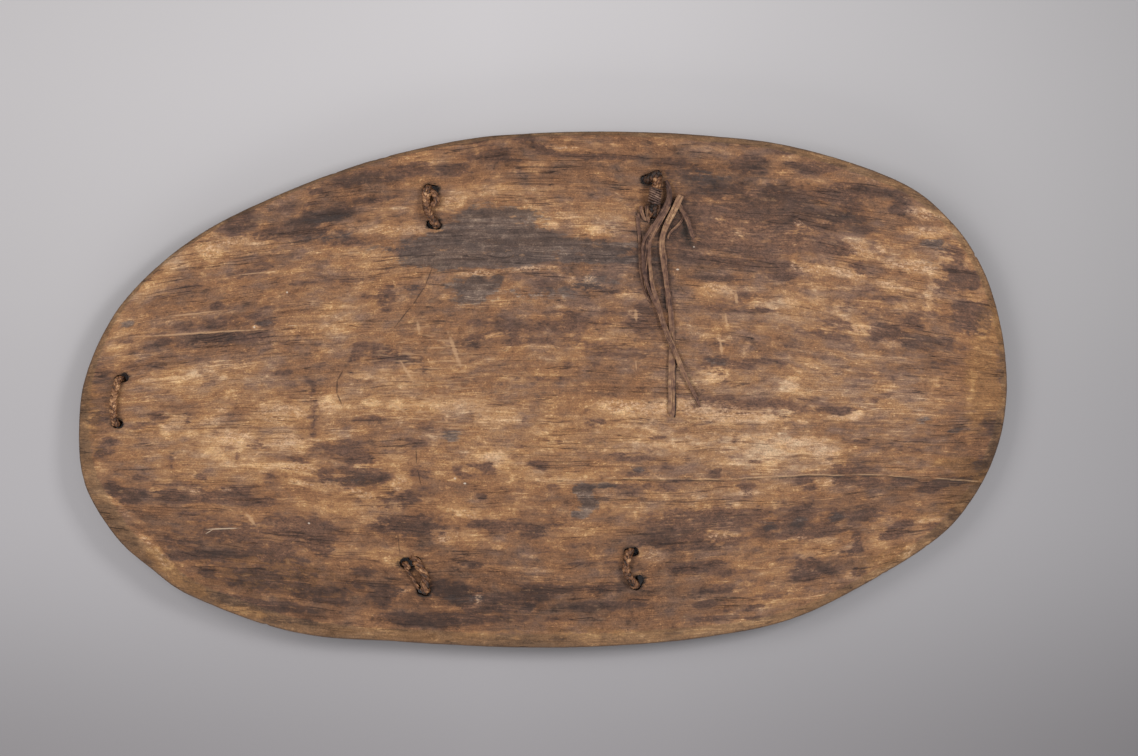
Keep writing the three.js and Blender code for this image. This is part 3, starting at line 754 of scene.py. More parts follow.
def front_relief(x, y):
    """Shallow tool marks on the front, which never reach below its flat spot."""
    marks = 0.7 * MM * (1 + noise(x, y, 120 * MM, 48 * MM, 501, 3))
    return marks * np.clip(front_height(x, y) / (2 * MM), 0, 1)


def select_border():
    """Selects the open edges of the active piece, in edit mode."""
    bpy.ops.object.mode_set(mode="EDIT")
    bpy.ops.mesh.select_mode(type="EDGE")
    bpy.ops.mesh.select_all(action="DESELECT")
    bpy.ops.mesh.select_non_manifold()


def extrude_border(piece, inset, height):
    """Extrudes the selected border and sets the new ring to its place."""
    bpy.ops.mesh.extrude_edges_move()
    shape = bmesh.from_edit_mesh(piece.data)
    layer = shape.verts.layers.float["around"]
    ring = [v for v in shape.verts if v.select]
    around = np.array([v[layer] for v in ring])
    place = rim_place(around, inset(around))
    for vertex, (px, py), pz in zip(ring, place, height(*place.T)):
        vertex.co = (px, py, pz)
    bmesh.update_edit_mesh(piece.data)
    return len(ring)


select_border()
for step in range(1, BAND_STEPS + 1):
    share = step / BAND_STEPS
    extrude_border(board,
                   lambda around: band(around) * (1 - share) + (EDGE_ROUND + nicks(around)) * share,
                   lambda px, py: (back_height(px, py) + back_relief(px, py) * (1 - 0.6 * share)
                                   - BEVEL_DROP * share ** 1.25))
for inset_mm, height_mm in EDGE_PROFILE:
    ring_size = extrude_border(board,
                               lambda around: inset_mm * MM + nicks(around),
                               lambda px, py: front_height(px, py) + height_mm * MM
                               + (front_relief(px, py) if height_mm < 0.5 else 0))
bpy.ops.object.mode_set(mode="OBJECT")
print("rim ring", ring_size, "points")

# %% The front, bridged to the edge
FRONT_INSET = 14 * MM
front, place = shape_grid("shield_front", BACK_COLUMNS // 2, BACK_ROWS // 2,
                          lambda around: FRONT_INSET + 0 * around)
x, y = place.T
set_places(front.data, x, y, front_height(x, y) + front_relief(x, y))
select_alone(front, board)
bpy.ops.object.join()
select_border()
bpy.ops.mesh.bridge_edge_loops()
bpy.ops.mesh.select_all(action="SELECT")
bpy.ops.mesh.normals_make_consistent(inside=False)
bpy.ops.object.mode_set(mode="OBJECT")
board_shape = bmesh.new()
board_shape.from_mesh(board.data)
print("board faces", len(board_shape.faces), "open edges", sum(not e.is_manifold for e in board_shape.edges),
      "volume", board_shape.calc_volume())
board_shape.free()

# %% [markdown]
# The holes were burnt through with a hot iron, so they are slots with soft, slightly wavy mouths. A
# cutter has the shape of each burnt hole, and one boolean takes all of them out of the board.

# %% Burnt holes
HOLE_CLEARANCE = 0.5 * MM
HOLE_SIDES = 36
MOUTH = [(5.0, 2.2), (0.8, 0.9), (-0.6, 0.4), (-2.4, 0.1), (-4.5, 0.0)]  # height at the mouth, widening
places, faces = [], []
for number, (middle, room, cord) in enumerate(holes):
    turn = (np.arange(HOLE_SIDES) + 0.5) / HOLE_SIDES * 2 * math.pi
    heading = math.atan2(room[1], room[0])
    ends = np.where(np.cos(turn)[:, None] > 0, room[None, :], 0.0)
    wavy = 1 + 0.15 * noise(np.cos(turn), np.sin(turn), 0.6, 0.6, 600 + number, 3)
    back_z, front_z = back_height(*middle), front_height(*middle)
    levels = [(back_z + h * MM, w * MM) for h, w in MOUTH]
    levels += [(front_z - h * MM, w * MM) for h, w in MOUTH[::-1]]
    start = number * len(levels) * HOLE_SIDES
    for level, (z, widening) in enumerate(levels):
        radius = (cord / 2 + HOLE_CLEARANCE) * wavy + widening
        places.append(np.stack([middle[0] + ends[:, 0] + radius * np.cos(turn + heading),
                                middle[1] + ends[:, 1] + radius * np.sin(turn + heading),
                                np.full(HOLE_SIDES, z)], axis=1))
        if level:
            low = start + (level - 1) * HOLE_SIDES
            high = low + HOLE_SIDES
            faces += [(low + (k + 1) % HOLE_SIDES, low + k, high + k, high + (k + 1) % HOLE_SIDES)
                      for k in range(HOLE_SIDES)]
    last_ring = start + (len(levels) - 1) * HOLE_SIDES
    faces.append(tuple(range(start, start + HOLE_SIDES)))
    faces.append(tuple(range(last_ring, last_ring + HOLE_SIDES))[::-1])
cutter_mesh = bpy.data.meshes.new("hole_cutters")
cutter_mesh.from_pydata(np.concatenate(places).tolist(), [], faces)
cutters = bpy.data.objects.new("hole_cutters", cutter_mesh)
bpy.context.collection.objects.link(cutters)
select_alone(board)
boolean = board.modifiers.new("holes", "BOOLEAN")
boolean.operation = "DIFFERENCE"
boolean.solver = "MANIFOLD"
boolean.object = cutters
bpy.ops.object.modifier_apply(modifier=boolean.name)
bpy.data.objects.remove(cutters, do_unlink=True)
bpy.ops.object.shade_smooth_by_angle(angle=math.radians(50))
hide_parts("board")
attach(board, "root")
print("board with holes", len(board.data.polygons), "faces")

# %% [markdown]
# The wood's colour tells its story: dark purple-brown patina where hands and soot built up, pale tan
# where the surface wore through, and amber where the edge was gripped. A grey sheen is painted where
# something rubbed the wood smooth for years, and shadows of the knot and the strips are painted among
# the dark marks. Each mark is noted with its place on the board from the middle, its half length along
# the grain and its half width, in millimetres, then how strong it is in percent, and its turn in degrees
# where it doesn't follow the grain.

# %% Marks on the back: dark patina and painted shadows
PATINA_AND_PAINTED_SHADOWS = [
    # the first marks are painted shadows: beside the sling's knot, and under and between its lifted strips
    (176, 224, 14, 24, 100), (150, 232, 12, 14, 90), (193, 214, 8, 16, 80), (163, 205, 18, 8, 90),
    (156, 158, 28, 9, 90, -78), (161, 118, 18, 5, 120, -75), (127, 150, 24, 6, 50, -82),
    (203, 246, 6, 3, 80),
    # left part, above the middle
    (-395, 215, 20, 8, 80, 20), (-297, 259, 8, 5, 80), (-320, 240, 24, 8, 55), (-300, 222, 42, 8, 75, 12),
    (-265, 235, 20, 7, 80, 5), (-330, 203, 58, 8, 70, 2), (-250, 194, 36, 5, 65, 2),
    (-225, 250, 40, 5, 60, 8), (-260, 272, 32, 7, 50), (-215, 282, 30, 7, 50), (-432, 111, 7, 6, 100),
    (-485, 126, 28, 4, 35), (-455, 135, 14, 4, 40), (-440, 103, 50, 3, 35), (-445, 84, 52, 5, 55, 3),
    (-422, 67, 68, 8, 75, 4), (-370, 70, 12, 5, 60), (-363, 87, 14, 5, 95), (-377, 95, 14, 5, 60),
    (-506, 71, 10, 4, 50), (-499, 62, 8, 5, 90), (-512, 58, 15, 3, 40), (-538, 30, 12, 4, 40),
    (-508, 35, 12, 7, 45), (-340, 22, 15, 4, 80), (-290, 32, 8, 4, 45), (-240, 55, 14, 7, 70),
    (-248, 42, 8, 10, 70), (-216, 48, 14, 12, 75), (-195, 45, 15, 7, 60, -20), (-209, 117, 12, 15, 45),
    (-207, 132, 8, 9, 40), (-262, 145, 30, 4, 45), (-325, 140, 26, 3, 40), (-385, 150, 22, 16, 30),
    (-365, 165, 22, 12, 25), (-580, 30, 14, 28, 35), (-545, 62, 10, 4, 35), (-420, 20, 40, 6, 25),
    (-470, 40, 30, 8, 25), (-330, 60, 14, 8, 30), (-340, 110, 40, 4, 25), (-400, 98, 30, 3, 30),
    # left part, below the middle
    (-583, -36, 12, 9, 80), (-565, -67, 11, 5, 95), (-577, -82, 11, 8, 90), (-505, -35, 10, 6, 65),
    (-467, -38, 7, 8, 65), (-530, -47, 30, 4, 50), (-560, -130, 14, 8, 95, -25), (-533, -137, 13, 6, 100),
    (-543, -146, 15, 4, 85), (-530, -115, 10, 4, 75), (-470, -126, 26, 6, 45), (-447, -115, 6, 4, 95),
    (-440, -141, 60, 8, 90), (-405, -135, 24, 8, 80), (-480, -143, 22, 8, 65), (-380, -148, 32, 7, 65),
    (-360, -121, 10, 10, 40), (-374, -70, 15, 8, 50), (-403, -88, 3, 12, 55), (-490, -95, 5, 10, 40),
    (-430, -186, 30, 9, 40), (-392, -188, 30, 12, 50), (-318, -186, 40, 14, 85), (-296, -192, 24, 17, 90),
    (-345, -172, 20, 8, 50), (-288, -208, 15, 11, 60), (-420, -216, 74, 5, 95, 2), (-357, -208, 30, 8, 55),
    (-338, -224, 26, 6, 60), (-440, -243, 10, 5, 95), (-370, -243, 30, 7, 70), (-328, -241, 30, 7, 60),
    (-340, -257, 60, 5, 60), (-298, -263, 40, 6, 60), (-400, -276, 40, 6, 85, -5), (-368, -283, 30, 6, 85),
    (-328, -286, 30, 8, 60), (-345, -302, 20, 4, 95), (-318, -303, 30, 4, 75), (-280, -276, 30, 6, 60),
    (-233, -238, 15, 6, 75), (-213, -276, 20, 9, 60), (-235, -256, 30, 5, 45), (-303, -28, 4, 46, 65),
    (-265, -78, 32, 11, 70), (-243, -91, 20, 7, 85), (-235, -116, 24, 10, 95), (-255, -121, 12, 8, 80),
    (-290, -111, 15, 9, 50), (-213, -117, 10, 6, 70), (-320, -93, 15, 5, 50), (-260, -105, 20, 5, 50),
    (-225, -180, 8, 6, 45), (-230, -192, 12, 3, 40), (-228, -40, 26, 4, 60), (-400, -230, 90, 50, 22),
    (-400, 223, 24, 7, 85, 27), (-436, 88, 12, 7, 50), (-470, -200, 30, 12, 40), (-450, -165, 30, 8, 35),
    (-470, -268, 26, 4, 50, -28),
    # middle, above
    (-170, 289, 27, 8, 75), (-113, 288, 27, 8, 65, 5), (-60, 306, 42, 9, 55), (-80, 321, 15, 7, 50),
    (-26, 330, 15, 6, 75), (0, 318, 18, 6, 85, -18), (30, 306, 35, 4, 80, -5), (80, 303, 26, 3, 65),
    (-200, 276, 20, 4, 65), (-168, 131, 15, 9, 50), (-180, 182, 30, 8, 50), (0, 136, 16, 9, 45),
    (70, 131, 30, 8, 50), (20, 100, 26, 3, 75), (95, 100, 26, 6, 50), (-60, 90, 40, 7, 50),
    (-10, 76, 60, 12, 55), (40, 88, 40, 10, 50), (-90, 64, 15, 9, 60), (-35, 62, 13, 6, 50),
    (60, 58, 60, 6, 40), (110, 48, 60, 7, 50), (132, 86, 25, 18, 55), (134, 107, 15, 9, 50),
    (0, 14, 90, 3, 30), (30, 32, 8, 6, 35), (65, 34, 8, 6, 35), (-165, 35, 12, 12, 30, -45),
    (-230, 125, 14, 6, 30), (120, 180, 24, 8, 45), (90, 200, 14, 8, 35), (110, 305, 40, 4, 40),
    (150, 300, 30, 5, 45), (190, 285, 30, 16, 55), (200, 245, 20, 20, 50), (185, 180, 26, 14, 50),
    # right part, above the middle
    (228, 266, 32, 9, 60), (270, 292, 22, 12, 70), (285, 236, 62, 24, 65), (322, 256, 26, 7, 80),
    (385, 255, 30, 8, 100), (400, 264, 20, 7, 80), (436, 258, 20, 6, 80), (470, 246, 11, 14, 90, 25),
    (465, 234, 10, 5, 65), (400, 226, 20, 7, 100), (370, 226, 20, 6, 65), (420, 210, 10, 6, 60),
    (280, 220, 8, 15, 75), (290, 205, 20, 5, 75), (235, 215, 26, 20, 55), (250, 190, 42, 10, 65),
    (290, 180, 30, 9, 75), (332, 192, 42, 11, 75), (382, 188, 25, 7, 95), (390, 180, 15, 5, 85),
    (310, 161, 30, 9, 75), (316, 147, 12, 5, 95), (243, 166, 46, 7, 75), (228, 147, 36, 4, 75),
    (400, 241, 15, 5, 65), (429, 185, 6, 6, 75), (416, 160, 8, 8, 80), (345, 290, 26, 7, 75),
    (372, 291, 20, 6, 75), (310, 310, 20, 5, 60), (262, 319, 10, 3, 60), (300, 215, 110, 42, 35),
    (536, 176, 16, 9, 80), (545, 150, 12, 18, 90), (564, 140, 6, 12, 85), (530, 160, 10, 5, 65),
    (560, 95, 24, 20, 100), (575, 88, 12, 12, 70), (485, 86, 12, 8, 80), (450, 75, 20, 11, 75),
    (480, 65, 22, 9, 60), (520, 60, 30, 8, 50), (450, 100, 26, 6, 50), (520, 35, 18, 9, 45),
    (390, 86, 25, 6, 50), (378, 75, 20, 9, 55), (402, 111, 12, 7, 45), (450, 121, 42, 4, 50, -8),
    (420, 130, 26, 3, 50, -5), (225, 106, 30, 5, 65), (262, 121, 10, 8, 65), (245, 114, 20, 5, 50),
    (290, 105, 20, 4, 40), (225, 36, 22, 8, 95), (262, 32, 15, 7, 90), (300, 35, 25, 5, 65),
    (236, 15, 8, 8, 50), (225, 60, 20, 3, 45), (300, 60, 40, 3, 30), (600, 40, 8, 30, 40),
    (520, 130, 10, 20, 40), (500, 100, 24, 8, 40), (345, 75, 30, 4, 35), (420, 20, 60, 3, 30),
    # middle, below
    (-112, -108, 7, 7, 85), (-100, -115, 10, 4, 65), (-75, -108, 12, 9, 65), (-90, -99, 24, 3, 50),
    (-8, -98, 12, 4, 100), (-5, -105, 8, 2, 65), (123, -109, 12, 5, 100), (125, -92, 32, 3, 60, -3),
    (100, -86, 30, 2, 55, 3), (160, -106, 10, 7, 40), (65, -43, 12, 5, 65), (76, -43, 8, 4, 60),
    (-35, -45, 8, 4, 50), (-155, -48, 10, 8, 50), (-168, -70, 16, 9, 50), (105, -128, 48, 4, 55),
    (120, -136, 12, 6, 50), (160, -130, 26, 8, 50), (-83, -141, 6, 4, 80), (15, -130, 10, 5, 50),
    (-182, -142, 32, 11, 70, 20), (-168, -180, 36, 13, 85), (-200, -180, 20, 9, 60), (-85, -178, 12, 6, 65),
    (-45, -181, 36, 9, 70), (-15, -190, 15, 8, 85), (0, -180, 20, 8, 50), (-80, -228, 30, 5, 50),
    (-95, -231, 15, 4, 50), (-120, -261, 30, 9, 85), (-100, -273, 25, 8, 95), (-60, -276, 40, 8, 85),
    (-10, -265, 26, 9, 75), (0, -273, 12, 5, 85), (-90, -288, 15, 5, 85), (-60, -286, 30, 6, 75),
    (-20, -284, 8, 5, 90), (-130, -300, 60, 6, 95), (-182, -297, 30, 5, 75), (-158, -305, 40, 5, 75),
    (-150, -263, 12, 6, 85), (-200, -266, 20, 6, 50), (-60, -300, 40, 5, 50), (0, -300, 60, 4, 35),
    (60, -284, 50, 6, 65), (40, -262, 40, 5, 50), (112, -281, 30, 5, 50), (92, -260, 30, 6, 50),
    (70, -229, 40, 3, 55), (50, -205, 40, 3, 40), (190, -235, 26, 8, 85), (176, -170, 20, 11, 75),
    (185, -165, 15, 6, 70), (160, -200, 40, 9, 60), (150, -180, 20, 18, 50), (195, -190, 15, 14, 65),
    (180, -120, 15, 3, 80), (20, -326, 10, 4, 65), (165, -320, 10, 5, 50), (-30, -212, 70, 4, 35),
    (-160, -110, 14, 10, 40), (-30, -75, 8, 3, 35), (20, -70, 16, 4, 35), (150, -62, 18, 4, 35),
    # right part, below the middle
    (270, -24, 62, 9, 65), (230, -14, 30, 8, 55), (290, -20, 30, 9, 65), (320, -24, 15, 7, 60),
    (380, -27, 30, 5, 85), (402, -28, 12, 4, 100), (350, -15, 30, 6, 45), (446, -8, 14, 3, 65, 10),
    (439, -13, 6, 4, 65), (255, -65, 7, 5, 65), (285, -95, 15, 2, 65), (300, -92, 8, 2, 55),
    (415, -68, 15, 3, 75, -5), (450, -75, 40, 2, 50, -3), (480, -81, 20, 2, 40), (230, -110, 8, 6, 85),
    (266, -127, 12, 4, 75), (268, -136, 5, 7, 85), (345, -120, 10, 6, 75), (350, -128, 10, 5, 65),
    (402, -106, 20, 9, 75), (395, -120, 12, 7, 85), (430, -122, 22, 6, 75), (475, -120, 18, 6, 95),
    (522, -123, 20, 5, 100), (505, -131, 15, 4, 85), (545, -120, 15, 4, 65), (425, -105, 15, 6, 50),
    (240, -168, 36, 12, 90), (220, -176, 30, 9, 85), (210, -165, 15, 8, 60), (290, -160, 10, 8, 50),
    (295, -180, 12, 8, 100), (330, -175, 20, 11, 90), (350, -155, 15, 11, 75), (385, -166, 12, 9, 100),
    (370, -181, 20, 8, 75), (420, -165, 20, 9, 65), (312, -190, 20, 4, 75), (350, -190, 26, 6, 65),
    (430, -160, 15, 4, 50), (475, -174, 12, 5, 100), (460, -190, 15, 5, 95), (455, -183, 8, 4, 65),
    (412, -195, 5, 14, 90), (415, -210, 15, 4, 65), (400, -215, 20, 4, 40), (210, -195, 25, 8, 75),
    (250, -198, 10, 5, 85), (220, -208, 40, 4, 75), (215, -232, 26, 6, 95), (245, -240, 25, 4, 65),
    (315, -205, 8, 4, 50), (345, -228, 15, 7, 100), (350, -240, 25, 9, 80), (340, -246, 15, 5, 75),
    (415, -238, 8, 6, 75), (380, -235, 12, 9, 50), (395, -258, 12, 6, 65), (315, -225, 10, 4, 50),
    (230, -262, 30, 5, 50), (300, -270, 26, 4, 50), (215, -280, 20, 4, 60), (262, -286, 40, 4, 45),
    (280, -298, 30, 3, 65), (220, -301, 30, 3, 65), (588, -45, 13, 13, 100), (592, -78, 8, 20, 85),
    (575, -100, 10, 12, 65), (514, -186, 12, 11, 85, 45), (536, -166, 10, 8, 65, 45),
    (300, -172, 120, 26, 30), (250, -255, 60, 12, 20), (440, -45, 40, 3, 30), (500, -60, 30, 10, 25),
]
print("dark marks", len(PATINA_AND_PAINTED_SHADOWS))

# %% Marks on the back: pale wear
PALE_WEAR = [
    (374, 157, 44, 6, 90, -4), (490, 162, 22, 9, 90), (450, 138, 18, 6, 80, -8), (440, 186, 6, 6, 90),
    (412, 183, 22, 10, 50), (501, 203, 28, 6, 60, -6), (470, 175, 30, 10, 25), (-404, -61, 26, 9, 80),
    (-338, -66, 22, 12, 60), (-83, 154, 18, 4, 90), (-15, 160, 30, 4, 80), (57, 146, 6, 6, 80),
    (36, 144, 6, 6, 70), (83, 207, 24, 6, 80), (180, -23, 110, 8, 70), (-423, 190, 50, 8, 50),
    (520, 150, 12, 40, 40), (505, 120, 5, 36, 50), (560, 120, 10, 22, 40),
    # left part, above the middle
    (-433, 180, 14, 12, 90), (-405, 196, 26, 6, 65, 10), (-372, 192, 18, 3, 80), (-480, 165, 26, 9, 55, 28),
    (-512, 130, 34, 14, 50, 32), (-325, 180, 3, 12, 45), (-340, 155, 30, 5, 40), (-230, 214, 62, 9, 65, 2),
    (-215, 232, 42, 5, 50, 8), (-270, 92, 26, 28, 35), (-560, 54, 20, 6, 45), (-540, 40, 26, 4, 45, 10),
    (-520, 12, 15, 3, 90, 2), (-485, 15, 15, 3, 65), (-455, 20, 10, 5, 65), (-425, 15, 8, 5, 65),
    (-385, 12, 12, 3, 55), (-415, -7, 5, 5, 80), (-240, 20, 26, 6, 60), (-378, 82, 6, 3, 85),
    (-555, 90, 20, 20, 35, 45), (-470, 60, 60, 3, 30, 3), (-300, 255, 12, 8, 40), (-560, -10, 10, 20, 35),
    (-155, 92, 8, 7, 60), (-165, 75, 5, 8, 50), (-175, 15, 50, 14, 45), (-140, 40, 46, 30, 30),
    # left part, below the middle
    (-352, -31, 28, 15, 85), (-320, -30, 14, 14, 60), (-286, -20, 18, 14, 75), (-225, -15, 12, 6, 80),
    (-275, -60, 26, 5, 55), (-335, -70, 26, 8, 75), (-405, -65, 20, 8, 100), (-425, -25, 15, 6, 65),
    (-440, -42, 22, 8, 65), (-482, -42, 15, 14, 45), (-496, -50, 6, 8, 65), (-430, -86, 15, 7, 65),
    (-445, -62, 32, 14, 35), (-415, -96, 10, 5, 65), (-370, -102, 42, 4, 75), (-330, -101, 26, 6, 85),
    (-312, -106, 24, 7, 70), (-320, -122, 22, 4, 95, -12), (-280, -120, 18, 7, 65),
    (-262, -133, 50, 7, 60, -8), (-240, -137, 25, 4, 75, -15), (-240, -102, 15, 5, 50),
    (-455, -133, 8, 6, 95), (-470, -130, 8, 5, 75), (-415, -132, 7, 4, 90), (-580, -105, 12, 8, 65),
    (-552, -155, 42, 5, 75, -38), (-520, -202, 20, 9, 75, -42), (-497, -222, 16, 7, 85, -42),
    (-540, -179, 30, 5, 50, -42), (-510, -135, 12, 8, 50), (-500, -118, 14, 12, 40),
    (-385, -172, 16, 3, 70, -55), (-260, -156, 60, 11, 55), (-225, -166, 30, 14, 40),
    (-250, -215, 42, 9, 50), (-200, -210, 30, 8, 50), (-592, -60, 8, 30, 45), (-590, -10, 8, 24, 40),
    (-440, -232, 30, 3, 30), (-420, -265, 30, 3, 35), (-390, -290, 30, 4, 50, -10),
    (-260, -300, 40, 4, 40, 5), (-330, -270, 40, 3, 35), (-400, -40, 110, 30, 25), (-360, -85, 100, 20, 20),
    # middle, above
    (-120, 246, 16, 13, 85), (-70, 262, 42, 7, 60, 3), (-10, 292, 20, 9, 65), (0, 266, 60, 9, 35),
    (-172, 209, 36, 6, 75), (-150, 300, 20, 4, 65), (-140, 297, 15, 3, 60, 5), (170, 321, 26, 6, 65),
    (30, 317, 20, 3, 65, -3), (105, 250, 10, 3, 65), (80, 215, 18, 6, 50), (100, 225, 15, 5, 50),
    (120, 220, 6, 3, 75), (110, 125, 26, 6, 65), (121, 99, 8, 5, 75), (-60, 73, 36, 3, 65, 12),
    (-130, 60, 15, 9, 35, -45), (-75, 153, 12, 4, 100), (-92, 152, 26, 3, 75), (-40, 155, 20, 5, 65),
    (-14, 160, 15, 4, 75), (10, 160, 14, 4, 65), (25, 153, 7, 7, 60), (38, 142, 5, 7, 75),
    (60, 145, 7, 6, 80), (104, 148, 8, 4, 65), (20, 109, 10, 3, 90), (-130, 121, 6, 5, 80),
    (-80, 221, 15, 4, 50), (12, 216, 10, 5, 60), (-40, 14, 20, 5, 50), (-80, 40, 60, 14, 25),
    (20, 35, 30, 16, 30), (130, 30, 30, 12, 25), (60, 318, 50, 5, 40), (-100, 330, 24, 4, 40, 8),
    (-30, 140, 12, 10, 35),
    # right part, above the middle
    (215, 315, 22, 6, 60), (320, 301, 20, 7, 65, 20), (290, 270, 20, 5, 50), (362, 270, 42, 5, 50),
    (240, 252, 10, 3, 60), (236, 225, 5, 8, 50), (335, 218, 8, 5, 90), (365, 220, 8, 3, 75),
    (345, 210, 12, 8, 40), (490, 231, 22, 7, 95, -10), (507, 226, 20, 5, 95), (495, 207, 22, 5, 100, -3),
    (530, 208, 15, 4, 65), (412, 190, 15, 8, 85), (441, 185, 6, 5, 100), (422, 175, 22, 6, 60),
    (480, 160, 30, 7, 100, -10), (460, 166, 15, 7, 85), (345, 158, 18, 3, 100), (332, 163, 3, 8, 100, 25),
    (400, 152, 18, 4, 100, -5), (411, 144, 12, 6, 75), (455, 137, 15, 4, 85, -3),
    (475, 133, 12, 3, 85, -10), (505, 110, 3, 16, 50), (522, 120, 15, 5, 50, -10), (360, 130, 15, 7, 50),
    (222, 131, 26, 9, 75), (230, 136, 20, 6, 60), (295, 110, 22, 7, 70), (320, 115, 15, 6, 60),
    (370, 112, 42, 9, 45), (400, 95, 15, 6, 60), (415, 80, 16, 9, 75), (455, 62, 14, 6, 75),
    (240, 88, 3, 9, 90), (233, 62, 3, 14, 90, 10), (268, 53, 5, 10, 50), (285, 78, 8, 6, 60),
    (215, 70, 12, 4, 65), (222, 18, 18, 12, 70), (325, 6, 12, 10, 90), (350, 35, 26, 6, 50),
    (440, 41, 26, 7, 50), (480, 43, 16, 5, 50), (515, 10, 4, 6, 80), (562, 5, 5, 30, 60),
    (400, 60, 120, 24, 15), (300, 90, 60, 14, 25), (460, 20, 60, 12, 25), (505, 190, 14, 10, 40),
    (540, 190, 10, 10, 50), (556, 165, 6, 16, 50), (578, 80, 10, 14, 40), (575, 125, 6, 14, 60),
    # middle, below
    (118, -24, 44, 11, 100), (96, -18, 20, 6, 70), (190, -22, 20, 9, 95), (232, -35, 42, 11, 90),
    (-120, -22, 42, 11, 75), (-60, -30, 40, 12, 50), (-190, -20, 20, 8, 65), (-70, -40, 42, 6, 50),
    (10, -20, 15, 12, 50), (0, -60, 22, 20, 40), (130, -43, 26, 7, 65), (160, -75, 60, 15, 35),
    (-65, -87, 20, 7, 90), (-55, -100, 15, 9, 50), (-30, -115, 26, 7, 50), (30, -112, 60, 7, 40),
    (20, -119, 20, 4, 65), (-188, -120, 12, 10, 85), (-200, -130, 20, 8, 70), (-200, -95, 20, 12, 40),
    (-105, -165, 25, 5, 90, -15), (-115, -167, 8, 2, 100), (-115, -190, 30, 7, 70), (-130, -198, 12, 5, 95),
    (-92, -160, 15, 9, 40), (-60, -208, 5, 4, 90), (-80, -200, 42, 6, 40), (-150, -220, 15, 6, 65),
    (-200, -225, 10, 8, 70), (-40, -235, 60, 4, 60, -2), (0, -238, 20, 2, 70), (-85, -275, 5, 10, 100, -25),
    (-215, 120, 40, 14, 30), (60, 140, 20, 12, 30), (-10, -218, 30, 3, 40), (145, -218, 18, 10, 80),
    (130, -236, 15, 8, 40), (50, -190, 60, 9, 40), (90, -160, 50, 10, 40), (190, -176, 20, 7, 50),
    (-180, -263, 10, 6, 75), (-120, -286, 20, 4, 45), (100, -320, 60, 7, 40), (-50, -320, 80, 7, 40),
    (100, -60, 110, 26, 25), (-90, -150, 100, 12, 25),
    # right part, below the middle
    (265, -36, 76, 9, 80), (388, -38, 22, 4, 100), (412, -35, 7, 6, 100), (300, -76, 70, 18, 65),
    (370, -79, 20, 11, 95), (345, -68, 26, 5, 95), (250, -96, 60, 11, 50), (375, -96, 16, 5, 80),
    (373, -120, 16, 6, 100), (270, -137, 20, 3, 90), (230, -192, 18, 6, 90), (250, -150, 10, 5, 50),
    (240, -136, 42, 6, 40), (335, -196, 20, 3, 90), (370, -198, 20, 3, 65), (380, -211, 42, 8, 50),
    (350, -215, 30, 8, 40), (440, -196, 15, 18, 45), (480, -211, 12, 7, 90, 48), (490, -190, 15, 10, 40),
    (510, -171, 15, 4, 75), (500, -146, 30, 10, 40), (400, -241, 15, 6, 75), (430, -236, 10, 8, 50),
    (245, -262, 20, 3, 50), (300, -280, 32, 6, 40), (270, -303, 42, 4, 65), (210, -316, 30, 5, 50),
    (560, -52, 8, 20, 50), (440, -62, 60, 5, 30), (520, -20, 30, 14, 25), (310, -238, 40, 4, 35),
    (443, -138, 5, 4, 70), (350, -104, 50, 4, 50),
]
print("pale marks", len(PALE_WEAR))

# %% Marks on the back: painted grey sheen and amber
PAINTED_GREY_SHEEN = [
    (-90, 190, 100, 10, 70), (60, 172, 90, 5, 70), (110, 190, 40, 4, 60), (-150, 170, 40, 8, 60),
    (-60, 226, 52, 13, 90), (-100, 205, 46, 14, 90), (-40, 200, 62, 15, 100), (20, 190, 62, 9, 85),
    (72, 183, 40, 7, 65), (-110, 180, 46, 14, 100), (-50, 173, 52, 11, 100), (-120, 166, 26, 7, 80),
    (-158, 185, 20, 10, 50), (-95, 131, 26, 17, 100), (-58, 145, 7, 7, 70), (-120, -61, 12, 6, 100),
    (55, -134, 10, 13, 100), (60, -152, 12, 8, 100), (47, -164, 7, 5, 100), (76, -128, 14, 4, 70),
    (515, 191, 15, 6, 60), (-545, 86, 8, 5, 60), (-285, 226, 26, 6, 50), (-290, 200, 40, 5, 40),
    (295, -180, 10, 7, 70), (385, -166, 10, 7, 70), (335, -176, 14, 7, 50), (-365, 88, 12, 4, 50),
    (-240, -118, 14, 6, 50), (-100, -272, 22, 6, 50), (225, 37, 14, 6, 50), (400, 228, 14, 6, 40),
    (495, -42, 12, 5, 50), (540, -52, 8, 6, 50), (500, 160, 20, 10, 25), (212, 275, 30, 14, 35),
    (0, 128, 60, 8, 35), (75, 140, 30, 10, 40), (122, -108, 9, 4, 70), (-170, 130, 12, 8, 40),
]
AMBER = [
    (585, -12, 16, 26, 100), (578, 35, 22, 90, 75), (540, -96, 32, 8, 70), (560, -112, 22, 14, 70),
    (440, -222, 42, 12, 60, 20), (540, -146, 20, 18, 60), (510, -162, 26, 10, 50), (-590, -40, 10, 60, 50),
    (-500, -222, 24, 10, 70, -42), (-460, -258, 40, 8, 70, -28), (-380, -292, 40, 7, 60, -12),
    (-200, -320, 120, 10, 40), (60, -318, 160, 10, 40), (320, -280, 100, 14, 30), (-190, -225, 14, 10, 50),
    (-250, -128, 60, 10, 30), (-350, -245, 120, 30, 35), (170, 270, 16, 14, 40), (-165, 262, 20, 16, 30),
]
